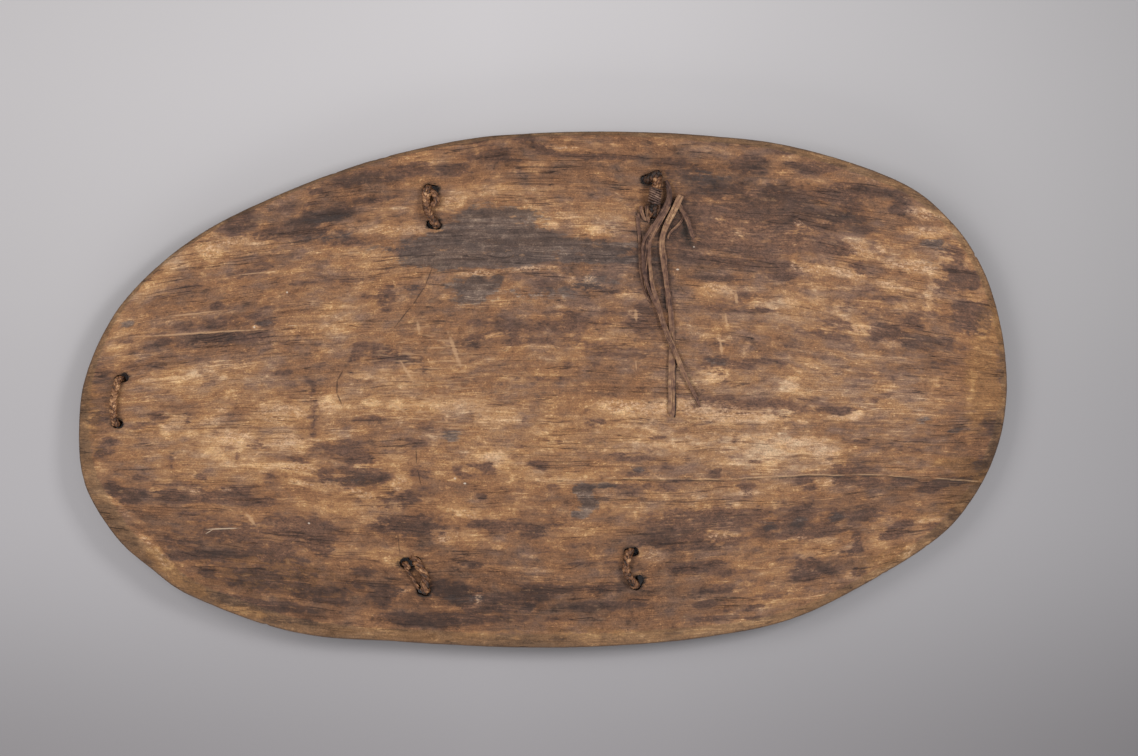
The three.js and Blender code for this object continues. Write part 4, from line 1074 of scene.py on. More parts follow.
# broad soft shading: partly stretches that handling darkened or wore paler, and partly painted shade,
# as along the top and bottom edges and around the knot
BROAD_DARK = [
    (330, 252, 120, 34, 32), (-245, 252, 80, 26, 40), (50, 278, 90, 18, 35), (-440, 64, 80, 22, 60),
    (375, 224, 120, 24, 40), (-275, 222, 55, 20, 35), (400, 115, 70, 20, 25), (450, 14, 70, 18, 25),
    (-205, -202, 50, 22, 35), (-279, 12, 50, 22, 30), (14, -147, 50, 20, 30), (232, 166, 44, 20, 30),
    (-400, -240, 150, 50, 75), (-230, -275, 150, 45, 80), (-60, -275, 160, 45, 65),
    (110, -255, 120, 50, 55), (-540, -175, 60, 45, 75), (585, -125, 45, 60, 80), (-240, 292, 90, 28, 40),
    (-80, 302, 90, 26, 25), (90, 305, 150, 34, 45), (260, 288, 110, 34, 45), (440, 245, 60, 30, 40),
    (-405, 218, 60, 28, 25), (-285, 225, 90, 28, 40), (-120, 215, 90, 28, 30), (165, 215, 46, 34, 65),
    (490, 200, 40, 28, 30), (-350, 168, 60, 22, 30), (20, 165, 110, 26, 30), (-60, 100, 200, 26, 20),
    (-430, 100, 120, 26, 20), (480, 40, 110, 30, 25), (-600, -20, 34, 90, 45), (570, -75, 34, 34, 40),
    (-185, -128, 60, 24, 35), (440, -138, 80, 24, 25), (60, -192, 80, 26, 45), (-170, -190, 70, 26, 25),
    (-590, 110, 40, 50, 20), (95, 155, 130, 30, 45), (-135, 40, 60, 34, 40), (160, 0, 110, 30, 45),
    (250, -119, 60, 24, 45), (540, -140, 44, 34, 50), (400, -224, 60, 30, 40), (180, -274, 60, 30, 35),
    (330, 40, 50, 22, 30), (150, 218, 34, 26, 70), (-60, 185, 110, 26, 25), (-120, -331, 200, 12, 70),
    (-600, -60, 14, 60, 50), (-70, -145, 40, 30, 30), (455, -145, 50, 26, 45), (-285, 270, 60, 24, 30),
    (-400, 10, 40, 26, 30), (440, -70, 90, 24, 25), (410, 150, 70, 30, 20),
]
BROAD_PALE = [
    (-250, 100, 70, 28, 35), (330, 100, 90, 26, 30), (400, 45, 46, 24, 30), (-170, -12, 150, 34, 35),
    (300, -18, 150, 30, 35), (-480, -70, 90, 28, 35), (-50, -70, 80, 26, 25), (275, -78, 120, 28, 35),
    (255, -132, 80, 22, 40), (-530, 170, 40, 30, 20), (270, 190, 30, 20, 20), (-190, 300, 50, 24, 40),
    (-60, -119, 60, 24, 45), (-190, -119, 50, 22, 30), (-265, -276, 60, 24, 35), (-420, -110, 60, 30, 25),
    (-440, -240, 50, 26, 25), (-470, 190, 60, 30, 30), (235, 222, 50, 24, 40), (-340, 172, 130, 24, 30),
    (15, 172, 50, 20, 30), (305, 172, 50, 22, 35), (455, 115, 50, 26, 40), (305, 118, 50, 22, 25),
    (-560, 65, 40, 26, 35), (90, 65, 50, 22, 35), (-460, 12, 60, 26, 40), (235, 12, 50, 22, 50),
    (400, 12, 70, 24, 35), (470, -40, 60, 26, 40), (-330, -92, 110, 22, 30), (308, -92, 40, 20, 35),
    (160, -145, 50, 22, 40), (308, -145, 50, 22, 40), (-350, -198, 50, 26, 50), (-200, -250, 50, 24, 30),
    (30, 222, 100, 16, 50), (-205, 222, 50, 20, 30), (-130, 172, 60, 14, 20), (-425, 12, 60, 24, 55),
    (-206, 168, 44, 18, 25), (-60, -92, 50, 18, 35), (-60, -145, 50, 18, 30), (235, -250, 60, 22, 35),
]
# where the wood is warmer, and where it is greyer
BROAD_WARM = [
    (-250, -270, 190, 60, 90), (-180, -150, 190, 60, 70), (-400, -180, 160, 60, 40),
    (-110, 300, 160, 40, 40), (60, 300, 120, 30, 40), (575, 0, 50, 150, 80), (0, -200, 120, 60, 30),
    (330, -180, 80, 50, 40),
]
BROAD_COOL = [
    (80, 140, 140, 40, 90), (370, 20, 150, 60, 70), (330, 150, 150, 60, 40), (260, -90, 130, 50, 70),
    (-380, 50, 90, 40, 50), (-350, 200, 90, 40, 30), (480, -40, 80, 50, 40), (30, 210, 90, 40, 30),
    (300, -60, 150, 40, 30), (530, -190, 40, 40, 40), (400, -240, 60, 30, 50),
]
print("sheen marks", len(PAINTED_GREY_SHEEN), "amber marks", len(AMBER), "broad marks", len(BROAD_DARK + BROAD_PALE))

# %% Marks on the back: painted shadows
# painted shadows beside the knot and under the lifted strips, and in the dark gaps beside the lower
# lashings' holes
PAINTED_SHADOW_MARKS = [
    (167, 237, 13, 7, 100, 60), (187, 207, 17, 6, 100, -72), (161, 115, 16, 4, 100, -72),
    (141, 224, 12, 6, 100, -60), (156, 222, 11, 6, 90), (177, 240, 12, 5, 90, 60),
    (152, 160, 22, 6, 60, -80), (126, 152, 22, 5, 45, -80), (200, 246, 7, 3, 70), (134, 236, 8, 5, 60),
    (-174, -230, 13, 7, 100, -35), (-162, -259, 7, 6, 90), (-187, -228, 6, 5, 90),
    (125, -249, 11, 6, 100, 10), (112, -232, 6, 9, 50),
]
print("soot marks", len(PAINTED_SHADOW_MARKS))

# %% [markdown]
# The grain bows away from the middle: its lines drop towards both ends above, and rise there below. A
# mark without a turn of its own follows them. Its outline is drawn by a soft falloff around its middle,
# made ragged along the grain. Where marks overlap, each one covers its share of what is still clear.

# %% Marks as fields over the board
BOW = 0.156
BOW_TURNS = (-0.21, 0.05)  # how high the lines rise most and drop most, in metres
FULLEST = 0.97


def grain_turn(middle_x, middle_y):
    """The turn of the grain's lines at this place, in radians."""
    lean = np.interp(middle_y, BOW_TURNS, (-1, 1))
    return math.atan(-2 * BOW * lean * middle_x)


def stain_field(marks, x, y, seed):
    """How much of these marks lies at each place, from 0 to 1."""
    drift_x = x + 7 * MM * noise(x, y, 34 * MM, 9 * MM, seed, 3)
    drift_y = y + 2.6 * MM * noise(x, y, 42 * MM, 13 * MM, seed + 9, 3)
    clear = np.ones_like(x)
    for middle_x, middle_y, half_length, half_width, percent, *turn in marks:
        angle = math.radians(turn[0]) if turn else grain_turn(middle_x * MM, middle_y * MM)
        dx, dy = drift_x - middle_x * MM, drift_y - middle_y * MM
        along = (dx * math.cos(angle) + dy * math.sin(angle)) / (half_length * MM)
        across = (dy * math.cos(angle) - dx * math.sin(angle)) / (half_width * MM)
        clear *= 1 - min(percent / 100, FULLEST) * np.exp(-0.7 * (along ** 2 + across ** 2) ** 1.6)
    return 1 - clear


print("grain turned by", round(math.degrees(grain_turn(-HALF_LENGTH, 0.0)), 1), "degrees at the left end")

# %% Marks stored on the board
CROWN_REACH = 260 * MM
RIM_REACH = 40 * MM
SPLIT_REACH = 20 * MM


def store(name, kind, values):
    """Stores one number, or four as a colour, at each point of the board."""
    field = "color" if kind == "FLOAT_COLOR" else "value"
    board.data.attributes.new(name, kind, "POINT").data.foreach_set(field, np.ravel(values))


x, y, z = places_of(board.data).T
on_back = np.clip((z - front_height(x, y) - 6 * MM) / (3 * MM), 0, 1)
stains = [stain_field(PATINA_AND_PAINTED_SHADOWS, x, y, 701), stain_field(PALE_WEAR, x, y, 711),
          stain_field(PAINTED_GREY_SHEEN, x, y, 721), stain_field(AMBER, x, y, 731)]
store("stains", "FLOAT_COLOR", np.stack(stains, axis=1) * on_back[:, None])
# on the front, hands and the ground have rubbed the crown pale and the rest is dark with smoke
broad = stain_field(BROAD_PALE, x, y, 741) - stain_field(BROAD_DARK, x, y, 751)
crown = (x / CROWN_REACH) ** 2 + (y / CROWN_REACH / 0.5) ** 2
crown = np.exp(-crown * (1 + 0.5 * noise(x, y, 60 * MM, 20 * MM, 753, 4)))
store("broad", "FLOAT", broad * on_back + (1.1 * crown - 0.35) * (1 - on_back))
warm_places = stain_field(BROAD_WARM, x, y, 761) - stain_field(BROAD_COOL, x, y, 771)
store("warm_places", "FLOAT", warm_places * on_back)
rim_tree = KDTree(len(outline))
for number, (rim_x, rim_y) in enumerate(outline):
    rim_tree.insert((rim_x, rim_y, 0), number)
rim_tree.balance()
_, rim_number, from_rim = zip(*(rim_tree.find((px, py, 0)) for px, py in zip(x, y)))
from_rim, rim_around = np.array(from_rim), np.array(rim_number) / len(outline)
worn_band = np.clip((band(rim_around) * 1.05 - from_rim) / (2.5 * MM), 0, 1) * on_back
# char around the holes' mouths, and inside them a near black that is char and painted shade; the painted
# shadow marks are added to it
char_and_painted_shade = np.zeros_like(x)
for middle, room, cord in holes:
    share = np.clip(((x - middle[0]) * room[0] + (y - middle[1]) * room[1]) / (room @ room), 0, 1)
    away = np.hypot(x - middle[0] - share * room[0], y - middle[1] - share * room[1]) - cord / 2
    below = np.clip((back_height(*middle) - z) / (3 * MM), 0, 1) * (away < 4 * MM)
    scorched = 0.75 * np.exp(-(np.maximum(away, 0) / (4.5 * MM)) ** 2)
    char_and_painted_shade = np.maximum.reduce([char_and_painted_shade, scorched, below])
char_and_painted_shade = np.maximum(char_and_painted_shade, 0.95 * stain_field(PAINTED_SHADOW_MARKS, x, y, 781) * on_back)
split_place = 0.5 + above_split(x, y) / (2 * SPLIT_REACH)
facts = np.stack([from_rim / RIM_REACH, char_and_painted_shade, split_place, worn_band], axis=1)
store("facts", "FLOAT_COLOR", np.clip(facts, 0, 1))
print("board triangles", sum(len(p.vertices) - 2 for p in board.data.polygons))

# %% [markdown]
# The wood is a pale tropical hardwood, hewn and rubbed smooth, then darkened by smoke and hands. Its
# colour starts from one value between dark and pale: streaks and flecks along the grain, pushed down by
# the patina and by painted shade and up by the wear. A ramp turns that value into wood colours. The marks
# only say where a patch lies. Noise along the grain breaks their outlines into the ragged tongues that
# worn wood shows.

# %% Material: weathered hardwood
SWAY = 16 * MM  # how far the grain's lines sway from side to side
wood, tree, shader = new_material("weathered_hardwood")
coordinates = add_node(tree, "TexCoord")
on_board = coordinates.outputs["Object"]
place = add_node(tree, "SeparateXYZ", {0: on_board})
sway = add_node(tree, "TexNoise", {"Vector": on_board, "Scale": 8.0, "Detail": 2.0})
sway = add_node(tree, "Math", {0: sway, 1: SWAY, 2: -SWAY / 2}, operation="MULTIPLY_ADD")
lean = add_node(tree, "MapRange", {0: place.outputs["Y"], 1: BOW_TURNS[0], 2: BOW_TURNS[1], 3: -BOW, 4: BOW})
bow = add_node(tree, "Math", {0: place.outputs["X"], 1: 2.0}, operation="POWER")
bent = add_node(tree, "Math", {0: bow, 1: lean, 2: sway}, operation="MULTIPLY_ADD")
bent = add_node(tree, "CombineXYZ", {"Y": bent})
grain_place = add_node(tree, "VectorMath", {0: on_board, 1: bent}, operation="ADD")
# blobs to the metre along and across the grain: a fleck is about 2 mm across, a fibre 33 mm by 2 mm
GRAIN_LAYERS = {
    "clouds": ((10, 15, 30), 3, 0.5),
    "warmth": ((26, 52, 30), 4, 0.6),
    "bands": ((7, 85, 40), 4, 0.55),
    "tongues": ((34, 105, 60), 5, 0.68),
    "blotches": ((95, 140, 80), 5, 0.7),
    "fibres": ((30, 520, 100), 4, 0.65),
    "flecks": ((480, 600, 200), 3, 0.7),
    "flakes": ((190, 300, 200), 5, 0.74),
    "worn": ((60, 85, 60), 6, 0.76),
    "cracks": ((5, 120, 30), 3, 0.45),
    "crack_spread": ((12, 40, 20), 2, 0.5),
    "sheen": ((5, 95, 20), 3, 0.55),
}
grain = {}
for layer, (scale, detail, roughness) in GRAIN_LAYERS.items():
    stretched = add_node(tree, "Mapping", {"Vector": grain_place, "Scale": scale})
    grain[layer] = add_node(tree, "TexNoise", {"Vector": stretched, "Scale": 1.0, "Detail": detail,
                                               "Roughness": roughness})
stored = {name: add_node(tree, "Attribute", attribute_name=name)
          for name in ("stains", "facts", "broad", "warm_places")}
stain = add_node(tree, "SeparateColor", {"Color": stored["stains"]})
fact = add_node(tree, "SeparateColor", {"Color": stored["facts"]})
print("layers of grain", len(grain))

# %% Patches with ragged edges
# a mark's strength is how much of its place it covers: the noise decides which flakes of it are left
RAGGED_GAINS = {"tongues": 2.0, "blotches": 1.5, "fibres": 1.1, "flecks": 0.7}
ragged = -sum(RAGGED_GAINS.values()) / 2
for layer, gain in RAGGED_GAINS.items():
    ragged = add_node(tree, "Math", {0: grain[layer], 1: gain, 2: ragged}, operation="MULTIPLY_ADD")
# each patch: where it lies, the strength it starts from, how ragged it is, and how softly it begins
PATCHES = {
    "dark": (stain.outputs[0], 0.4, 1.2, 0.44),
    "pale": (stain.outputs[1], 0.4, -1.1, 0.26),
    "grey": (stain.outputs[2], 0.36, 1.1, 0.5),
    "amber": (stored["stains"].outputs["Alpha"], 0.42, -0.55, 0.5),
    "band": (stored["facts"].outputs["Alpha"], 0.45, 0.6, 0.4),
}
patches = {}
for patch, (amount, start, raggedness, softness) in PATCHES.items():
    # far from a patch the noise is turned down, so that it makes no specks of the patch there
    near = add_node(tree, "MapRange", {0: amount, 1: 0.0, 2: 0.25, 3: raggedness * 0.4, 4: raggedness})
    broken = add_node(tree, "Math", {0: ragged, 1: near, 2: amount}, operation="MULTIPLY_ADD")
    levels = {1: start - softness / 2, 2: start + softness / 2}
    patches[patch] = add_node(tree, "MapRange", {0: broken, **levels}, interpolation_type="SMOOTHSTEP")
print("patches", list(patches))

# %% Small marks, each from one layer of the grain
# a mask is 0 where its layer is at the first level, and 1 where it is at the second
MASKS = {
    "flakes": ("flakes", 0.6, 0.63), "flake_places": ("warmth", 0.44, 0.62), "chips": ("worn", 0.585, 0.61),
    "grime": ("worn", 0.42, 0.395), "crack_places": ("crack_spread", 0.48, 0.58),
    "hair_places": ("crack_spread", 0.52, 0.42), "split_places": ("tongues", 0.42, 0.56),
}
masks = {name: add_node(tree, "MapRange", {0: grain[layer], 1: begin, 2: full})
         for name, (layer, begin, full) in MASKS.items()}
# small flakes have come off where the surface is weak, and left pale spots with crisp outlines
masks["flakes"] = add_node(tree, "Math", {0: masks["flakes"], 1: masks["flake_places"]},
                           operation="MULTIPLY")
# dark cracks and pale hairlines are the thin lines along which their layer crosses one level
for line, layer, level, shows in (("cracks", "cracks", 0.5, "crack_places"),
                                  ("hairs", "sheen", 0.52, "hair_places")):
    distance = add_node(tree, "Math", {0: grain[layer], 1: level}, operation="SUBTRACT")
    distance = add_node(tree, "Math", {0: distance}, operation="ABSOLUTE")
    thin = add_node(tree, "MapRange", {0: distance, 1: 0.014, 2: 0.004})
    masks[line] = add_node(tree, "Math", {0: thin, 1: masks[shows]}, operation="MULTIPLY")
print("small marks", list(masks))

# %% The wood's value, from dark to pale
VALUE_START = -0.79  # where every noise is 0.5, this puts the value at the middle of its colours
VALUE_PARTS = (
    (grain["fibres"], 0.62), (grain["worn"], 0.6), (grain["clouds"], 0.4), (grain["tongues"], 0.24),
    (grain["bands"], 0.32), (grain["blotches"], 0.42), (patches["dark"], -0.2), (patches["pale"], 0.22),
    (stored["broad"].outputs["Fac"], 0.26), (masks["flakes"], 0.32), (masks["chips"], 0.11),
    (masks["grime"], -0.09), (masks["cracks"], -0.32), (masks["hairs"], 0.24),
)
value = VALUE_START
for part, gain in VALUE_PARTS:
    value = add_node(tree, "Math", {0: part, 1: gain, 2: value}, operation="MULTIPLY_ADD")
print("parts of the value", len(VALUE_PARTS))

# %% The wood's colours
WOOD_STOPS = {
    "plain": [(0.0, "#33241d"), (0.15, "#4b372b"), (0.3, "#644a3a"), (0.5, "#805d45"), (0.68, "#9a7453"),
              (0.84, "#b48c68"), (1.0, "#cfab84")],
    "warm": [(0.0, "#3a2214"), (0.3, "#6f4a30"), (0.5, "#8c603e"), (0.7, "#a87a4e"), (1.0, "#d8b07c")],
    "cool": [(0.0, "#2e221d"), (0.3, "#5d483f"), (0.5, "#7a5e4f"), (0.7, "#98785f"), (1.0, "#c8ac8c")],
    "dark": [(0.0, "#32211a"), (0.5, "#6a4a3b"), (1.0, "#a37a5b")],
    "band": [(0.0, "#432f1f"), (0.5, "#7e6144"), (1.0, "#ad8a63")],
    "amber": [(0.0, "#452c18"), (0.5, "#8a6138"), (1.0, "#c49a62")],
    "grey": [(0.0, "#2e2421"), (0.35, "#493c37"), (0.55, "#5e4f48"), (0.75, "#7c6b60"), (1.0, "#a48f7b")],
}


def cover(colour, coat, share, *factors):
    """The wood's colour under this coat, which hides as much of it as the product of the factors."""
    for factor in factors:
        share = add_node(tree, "Math", {0: share, 1: factor}, operation="MULTIPLY")
    return add_node(tree, "Mix", {0: share, 6: colour, 7: coat}, data_type="RGBA").outputs[2]


warmth = add_node(tree, "Math", {0: stored["warm_places"].outputs["Fac"], 1: 0.12, 2: grain["warmth"]},
                  operation="MULTIPLY_ADD")
coolness = add_node(tree, "MapRange", {0: warmth, 1: 0.45, 2: 0.3})
warmth = add_node(tree, "MapRange", {0: warmth, 1: 0.42, 2: 0.62})
# the painted sheen runs in straight streaks, paler and darker
streaked = add_node(tree, "Math", {0: grain["sheen"], 1: 1.5, 2: -0.8}, operation="MULTIPLY_ADD")
streaked = add_node(tree, "Math", {0: streaked, 1: value}, operation="ADD")
ramps = {}
for kind, stops in WOOD_STOPS.items():
    ramps[kind] = add_node(tree, "ValToRGB", {0: streaked if kind == "grey" else value})
    set_ramp(ramps[kind], stops)
colour = ramps["plain"]
# the grey coat is painted sheen: the grey of a reflection, on places rubbed smooth
for kind, amount, share in (("warm", warmth, 0.7), ("cool", coolness, 0.8), ("dark", patches["dark"], 0.6),
                            ("band", patches["band"], 0.6), ("amber", patches["amber"], 0.55),
                            ("grey", patches["grey"], 0.84)):
    colour = cover(colour, ramps[kind], amount, share)
# inside the worn places the last skin has flaked off in crisp pale spots, and dirt sits in the dark ones
flaked = add_node(tree, "MapRange", {0: stain.outputs[1], 1: 0.55, 2: 0.9})
flaked = add_node(tree, "Math", {0: flaked, 1: patches["pale"]}, operation="MULTIPLY")
for amount, begin, full, tint, share in ((flaked, 0.51, 0.58, "#caa584", 0.7),
                                         (patches["dark"], 0.5, 0.42, "#3a2a23", 0.5),
                                         (patches["grey"], 0.5, 0.4, "#3b302b", 0.3)):
    spots = add_node(tree, "MapRange", {0: grain["flakes"], 1: begin, 2: full, 4: share})
    colour = cover(colour, linear(tint), spots, amount)
# the finest flecks only change how bright the colour is
fine = add_node(tree, "Math", {0: grain["flecks"], 1: 1.85, 2: 0.075}, operation="MULTIPLY_ADD")
colour = add_node(tree, "Mix", {0: 1.0, 6: colour, 7: fine}, data_type="RGBA", blend_type="MULTIPLY")
colour = colour.outputs[2]
print("kinds of colour", list(ramps))

# %% The split's two lips: a painted highlight and a painted shadow
# in millimetres above the split: where the painted highlight on the higher lip and the painted shadow
# in the gap below it begin, are full and end
split = add_node(tree, "Math", {0: fact.outputs[2], 1: 2 * SPLIT_REACH / MM, 2: -SPLIT_REACH / MM},
                 operation="MULTIPLY_ADD")
split_from = add_node(tree, "MapRange", {0: place.outputs["X"], 1: SPLIT_X[0], 2: SPLIT_X[1]})
for begin, full, end, tint, share in ((-1.0, 0.1, 1.6, "#b8946f", 0.75), (-4.0, -1.6, -0.7, "#33261f", 0.85)):
    rising = add_node(tree, "MapRange", {0: split, 1: begin, 2: full})
    falling = add_node(tree, "MapRange", {0: split, 1: end, 2: full})
    colour = cover(colour, linear(tint), rising, falling, split_from, masks["split_places"], share)
print("split shown from", SPLIT_X[0], "to", SPLIT_X[-1], "metres")

# %% Scratches and chips
# each scratch: the middle to the right and up, half the length and width, in millimetres, and the turn in
# degrees. They are kept by their tint and by how much the noise breaks them
SCRATCHES = {
    ("#b8916d", -0.6): [
        (234.5, 57.1, 17, 3.0, -82), (241.4, 91.8, 13, 2.6, -84), (254.5, 122, 14, 3.3, -85),
        (122.3, 97.1, 12, 3.3, -85), (122.7, 31.5, 9, 1.4, -86), (402.7, -34.8, 16, 3.2, 5),
        (263.7, -28.2, 47, 1.5, -3), (-117, 52, 34, 4.0, -70), (-180.4, 24.3, 23, 2.6, -60),
        (-190.9, -24.3, 19, 2.3, -33), (97.1, 257.1, 8, 1.3, -27), (-383, -171.2, 17, 3.3, -51),
        (-164.6, 82, 12, 3, -81), (-454, 74, 110, 2.0, 3.4), (-463, 99, 56, 1.8, 6.4),
        (-385, 152, 40, 1.6, 6),
    ],
    ("#d9cab8", -0.3): [
        (-336.8, 127.9, 2, 2, 0), (-380.1, 82, 2, 2, 0), (177.1, 158.1, 3, 1.7, 0),
        (-116.4, -117.4, 2, 2, 0), (-103.3, -124, 2.6, 1.6, 0), (198.4, 187.6, 2, 1.6, 0),
        (-307.6, -175.8, 2.4, 1.7, -18),
    ],
    ("#cab196", -0.35): [
        (-419.8, -182.5, 33, 1.2, 2), (-438, -186.6, 9, 0.9, 30), (-330, 84, 12, 0.7, 3),
    ],
    ("#3a271d", -0.15): [
        (-267.6, 18.4, 13, 1.6, -119), (-271.8, 3.3, 14, 1.6, -92), (-268.5, -13.1, 14, 1.6, -67),
        (-150.9, 148.2, 24, 1.3, -111), (-164.6, 122.7, 26, 1.3, -123), (-185, 95.8, 30, 1.3, -128),
        (-167.3, -87.9, 16, 1.3, -88), (-163.3, -116.1, 17, 1.3, -78), (-189.6, -204, 20, 1.1, -84),
        (198.7, 242, 5, 2.6, 0), (-230.2, -40.7, 50, 1.2, 1),
    ],
}
facing = add_node(tree, "SeparateXYZ", {0: coordinates.outputs["Normal"]})
on_the_back = add_node(tree, "MapRange", {0: facing.outputs["Z"], 1: 0.2, 2: 0.6})
for (tint, breaks), scratches in SCRATCHES.items():
    scratched = 0.0
    for right, up, half_length, half_width, turned in scratches:
        centred = add_node(tree, "Mapping", {
            "Vector": on_board, "Location": (right * MM, up * MM, 0),
            "Rotation": (0, 0, math.radians(turned)), "Scale": (half_length * MM, half_width * MM, 1)},
            vector_type="TEXTURE")
        ellipse = add_node(tree, "TexGradient", {"Vector": centred}, gradient_type="SPHERICAL")
        scratched = add_node(tree, "Math", {0: ellipse.outputs["Fac"], 1: scratched}, operation="MAXIMUM")
    scratched = add_node(tree, "Math", {0: ragged, 1: breaks, 2: scratched}, operation="MULTIPLY_ADD")
    scratched = add_node(tree, "MapRange", {0: scratched, 1: 0.2, 2: 0.6, 4: 0.7})
    colour = cover(colour, linear(tint), scratched, on_the_back)
print("scratches", sum(len(scratches) for scratches in SCRATCHES.values()))

# %% A fan of fine scratches, left by something dragged across the middle
FAN_TURN = 52
FAN_LINES = (35, 330, 1)  # to the metre, along the scratches and across them
FAN_PLACE = (-148 * MM, 10 * MM, 0)
FAN_REACH = (110 * MM, 75 * MM, 1)
fan_turned = add_node(tree, "Mapping", {"Vector": on_board, "Rotation": (0, 0, math.radians(FAN_TURN)),
                                        "Scale": FAN_LINES})
fan_lines = add_node(tree, "TexNoise", {"Vector": fan_turned, "Scale": 1.0, "Detail": 3.0})
fan_spot = add_node(tree, "Mapping", {"Vector": on_board, "Location": FAN_PLACE, "Rotation": (0, 0, -0.9),
                                      "Scale": FAN_REACH}, vector_type="TEXTURE")
fan_place = add_node(tree, "TexGradient", {"Vector": fan_spot}, gradient_type="SPHERICAL")
fan_place = add_node(tree, "MapRange", {0: fan_place.outputs["Fac"], 1: 0.0, 2: 0.35})
fan = add_node(tree, "MapRange", {0: fan_lines, 1: 0.54, 2: 0.66, 4: 0.6})
colour = cover(colour, linear("#b58e69"), fan, fan_place, on_the_back)
print("fan of scratches, turned", FAN_TURN, "degrees")

# %% Char and painted shade at the holes, painted shadows by the strips, painted shade at the rim
# a near-black coat: char around the holes, and painted shade inside them, under the strips and by the knot
shade_and_char_coat = add_node(tree, "Math", {0: fact.outputs[1], 1: ragged}, operation="ADD")
shade_and_char_coat = add_node(tree, "MapRange", {0: shade_and_char_coat, 1: 0.34, 2: 0.95}, interpolation_type="SMOOTHSTEP")
colour = cover(colour, linear("#2a1f18"), shade_and_char_coat)
# painted shade: a dark line along the rim, where the edge turns away from the light
rim_painted_shade = add_node(tree, "MapRange", {0: fact.outputs[0], 1: 0.095, 2: 0.02, 4: 0.75})
colour = cover(colour, linear("#46362b"), rim_painted_shade)
tree.links.new(colour, shader.inputs["Base Color"])
print("colour linked", shader.inputs["Base Color"].is_linked)

# %% The wood's finish
RELIEF = 0.9 * MM
worn_smooth = add_node(tree, "Math", {0: patches["grey"], 1: patches["dark"]}, operation="MAXIMUM")
finish = add_node(tree, "MapRange", {0: worn_smooth, 3: 0.62, 4: 0.46})
finish = add_node(tree, "Math", {0: grain["flecks"], 1: 0.2, 2: finish}, operation="MULTIPLY_ADD")
tree.links.new(finish.outputs[0], shader.inputs["Roughness"])
shader.inputs["Specular IOR Level"].default_value = 0.3
relief = add_node(tree, "Math", {0: grain["flecks"], 1: 0.5, 2: grain["fibres"]}, operation="MULTIPLY_ADD")
relief = add_node(tree, "Math", {0: masks["cracks"], 1: -0.8, 2: relief}, operation="MULTIPLY_ADD")
bump = add_node(tree, "Bump", {"Strength": 0.7, "Distance": RELIEF, "Height": relief})
tree.links.new(bump.outputs[0], shader.inputs["Normal"])
board.data.materials.clear()
board.data.materials.append(wood)
print("nodes in the wood", len(tree.nodes))

# %% [markdown]
# Each lashing is a closed loop of cord through two burnt holes: over the back, down one hole, along the
# front and up the other. The loops were plaited or twisted from split vine and bark, so each is modelled
# strand by strand around the loop's middle line. A plait of three is a figure of eight: every strand
# swings from side to side once while it goes over and under twice, a third of a swing after the last.

# %% Paths of the lashings
CORD_GAP = 0.5 * MM
CORD_STEP = 0.8 * MM
BEND_RATIO = 1.5
BINDING_BORE = 6.1 * MM
BINDING_TWINE = 2.8 * MM
BINDING_LENGTH = 22 * MM
SLING_LIFT = BINDING_BORE + BINDING_TWINE + CORD_GAP


def loop_path(upper, lower, radius, lift, bulge):
    """The closed middle line of a lashing, and the direction across it."""
    run = lower - upper
    distance = np.linalg.norm(run)
    across = np.array([-run[1], run[0]]) / distance
    bend = BEND_RATIO * radius
    turn = np.linspace(0, math.pi / 2, 13)
    bend_along, bend_drop = bend * (1 - np.cos(turn)), bend * (1 - np.sin(turn))
    straight = np.linspace(bend, distance - bend, 30)[1:-1]
    along = np.concatenate([bend_along, straight, distance - bend_along[::-1]])
    drop = np.concatenate([bend_drop, 0 * straight, bend_drop[::-1]])
    share = (along / distance)[:, None]
    back = upper + run * share + across * bulge * np.sin(share * math.pi)
    far = share[:, 0]
    back_z = back_height(*upper) * (1 - far) + back_height(*lower) * far + lift - drop
    front = (upper + run * share)[::-1]
    front_z = front_height(*upper) * (1 - far) + front_height(*lower) * far - radius - CORD_GAP
    front_z = (front_z + drop)[::-1]
    path = np.vstack([np.column_stack([back, back_z]), np.column_stack([front, front_z])])
    return resample(path, CORD_STEP, closed=True), np.array([across[0], across[1], 0.0])


print("sling's cord stands off the board by", round(SLING_LIFT / MM, 1), "mm")

# %% Strands of a plait and of a twist


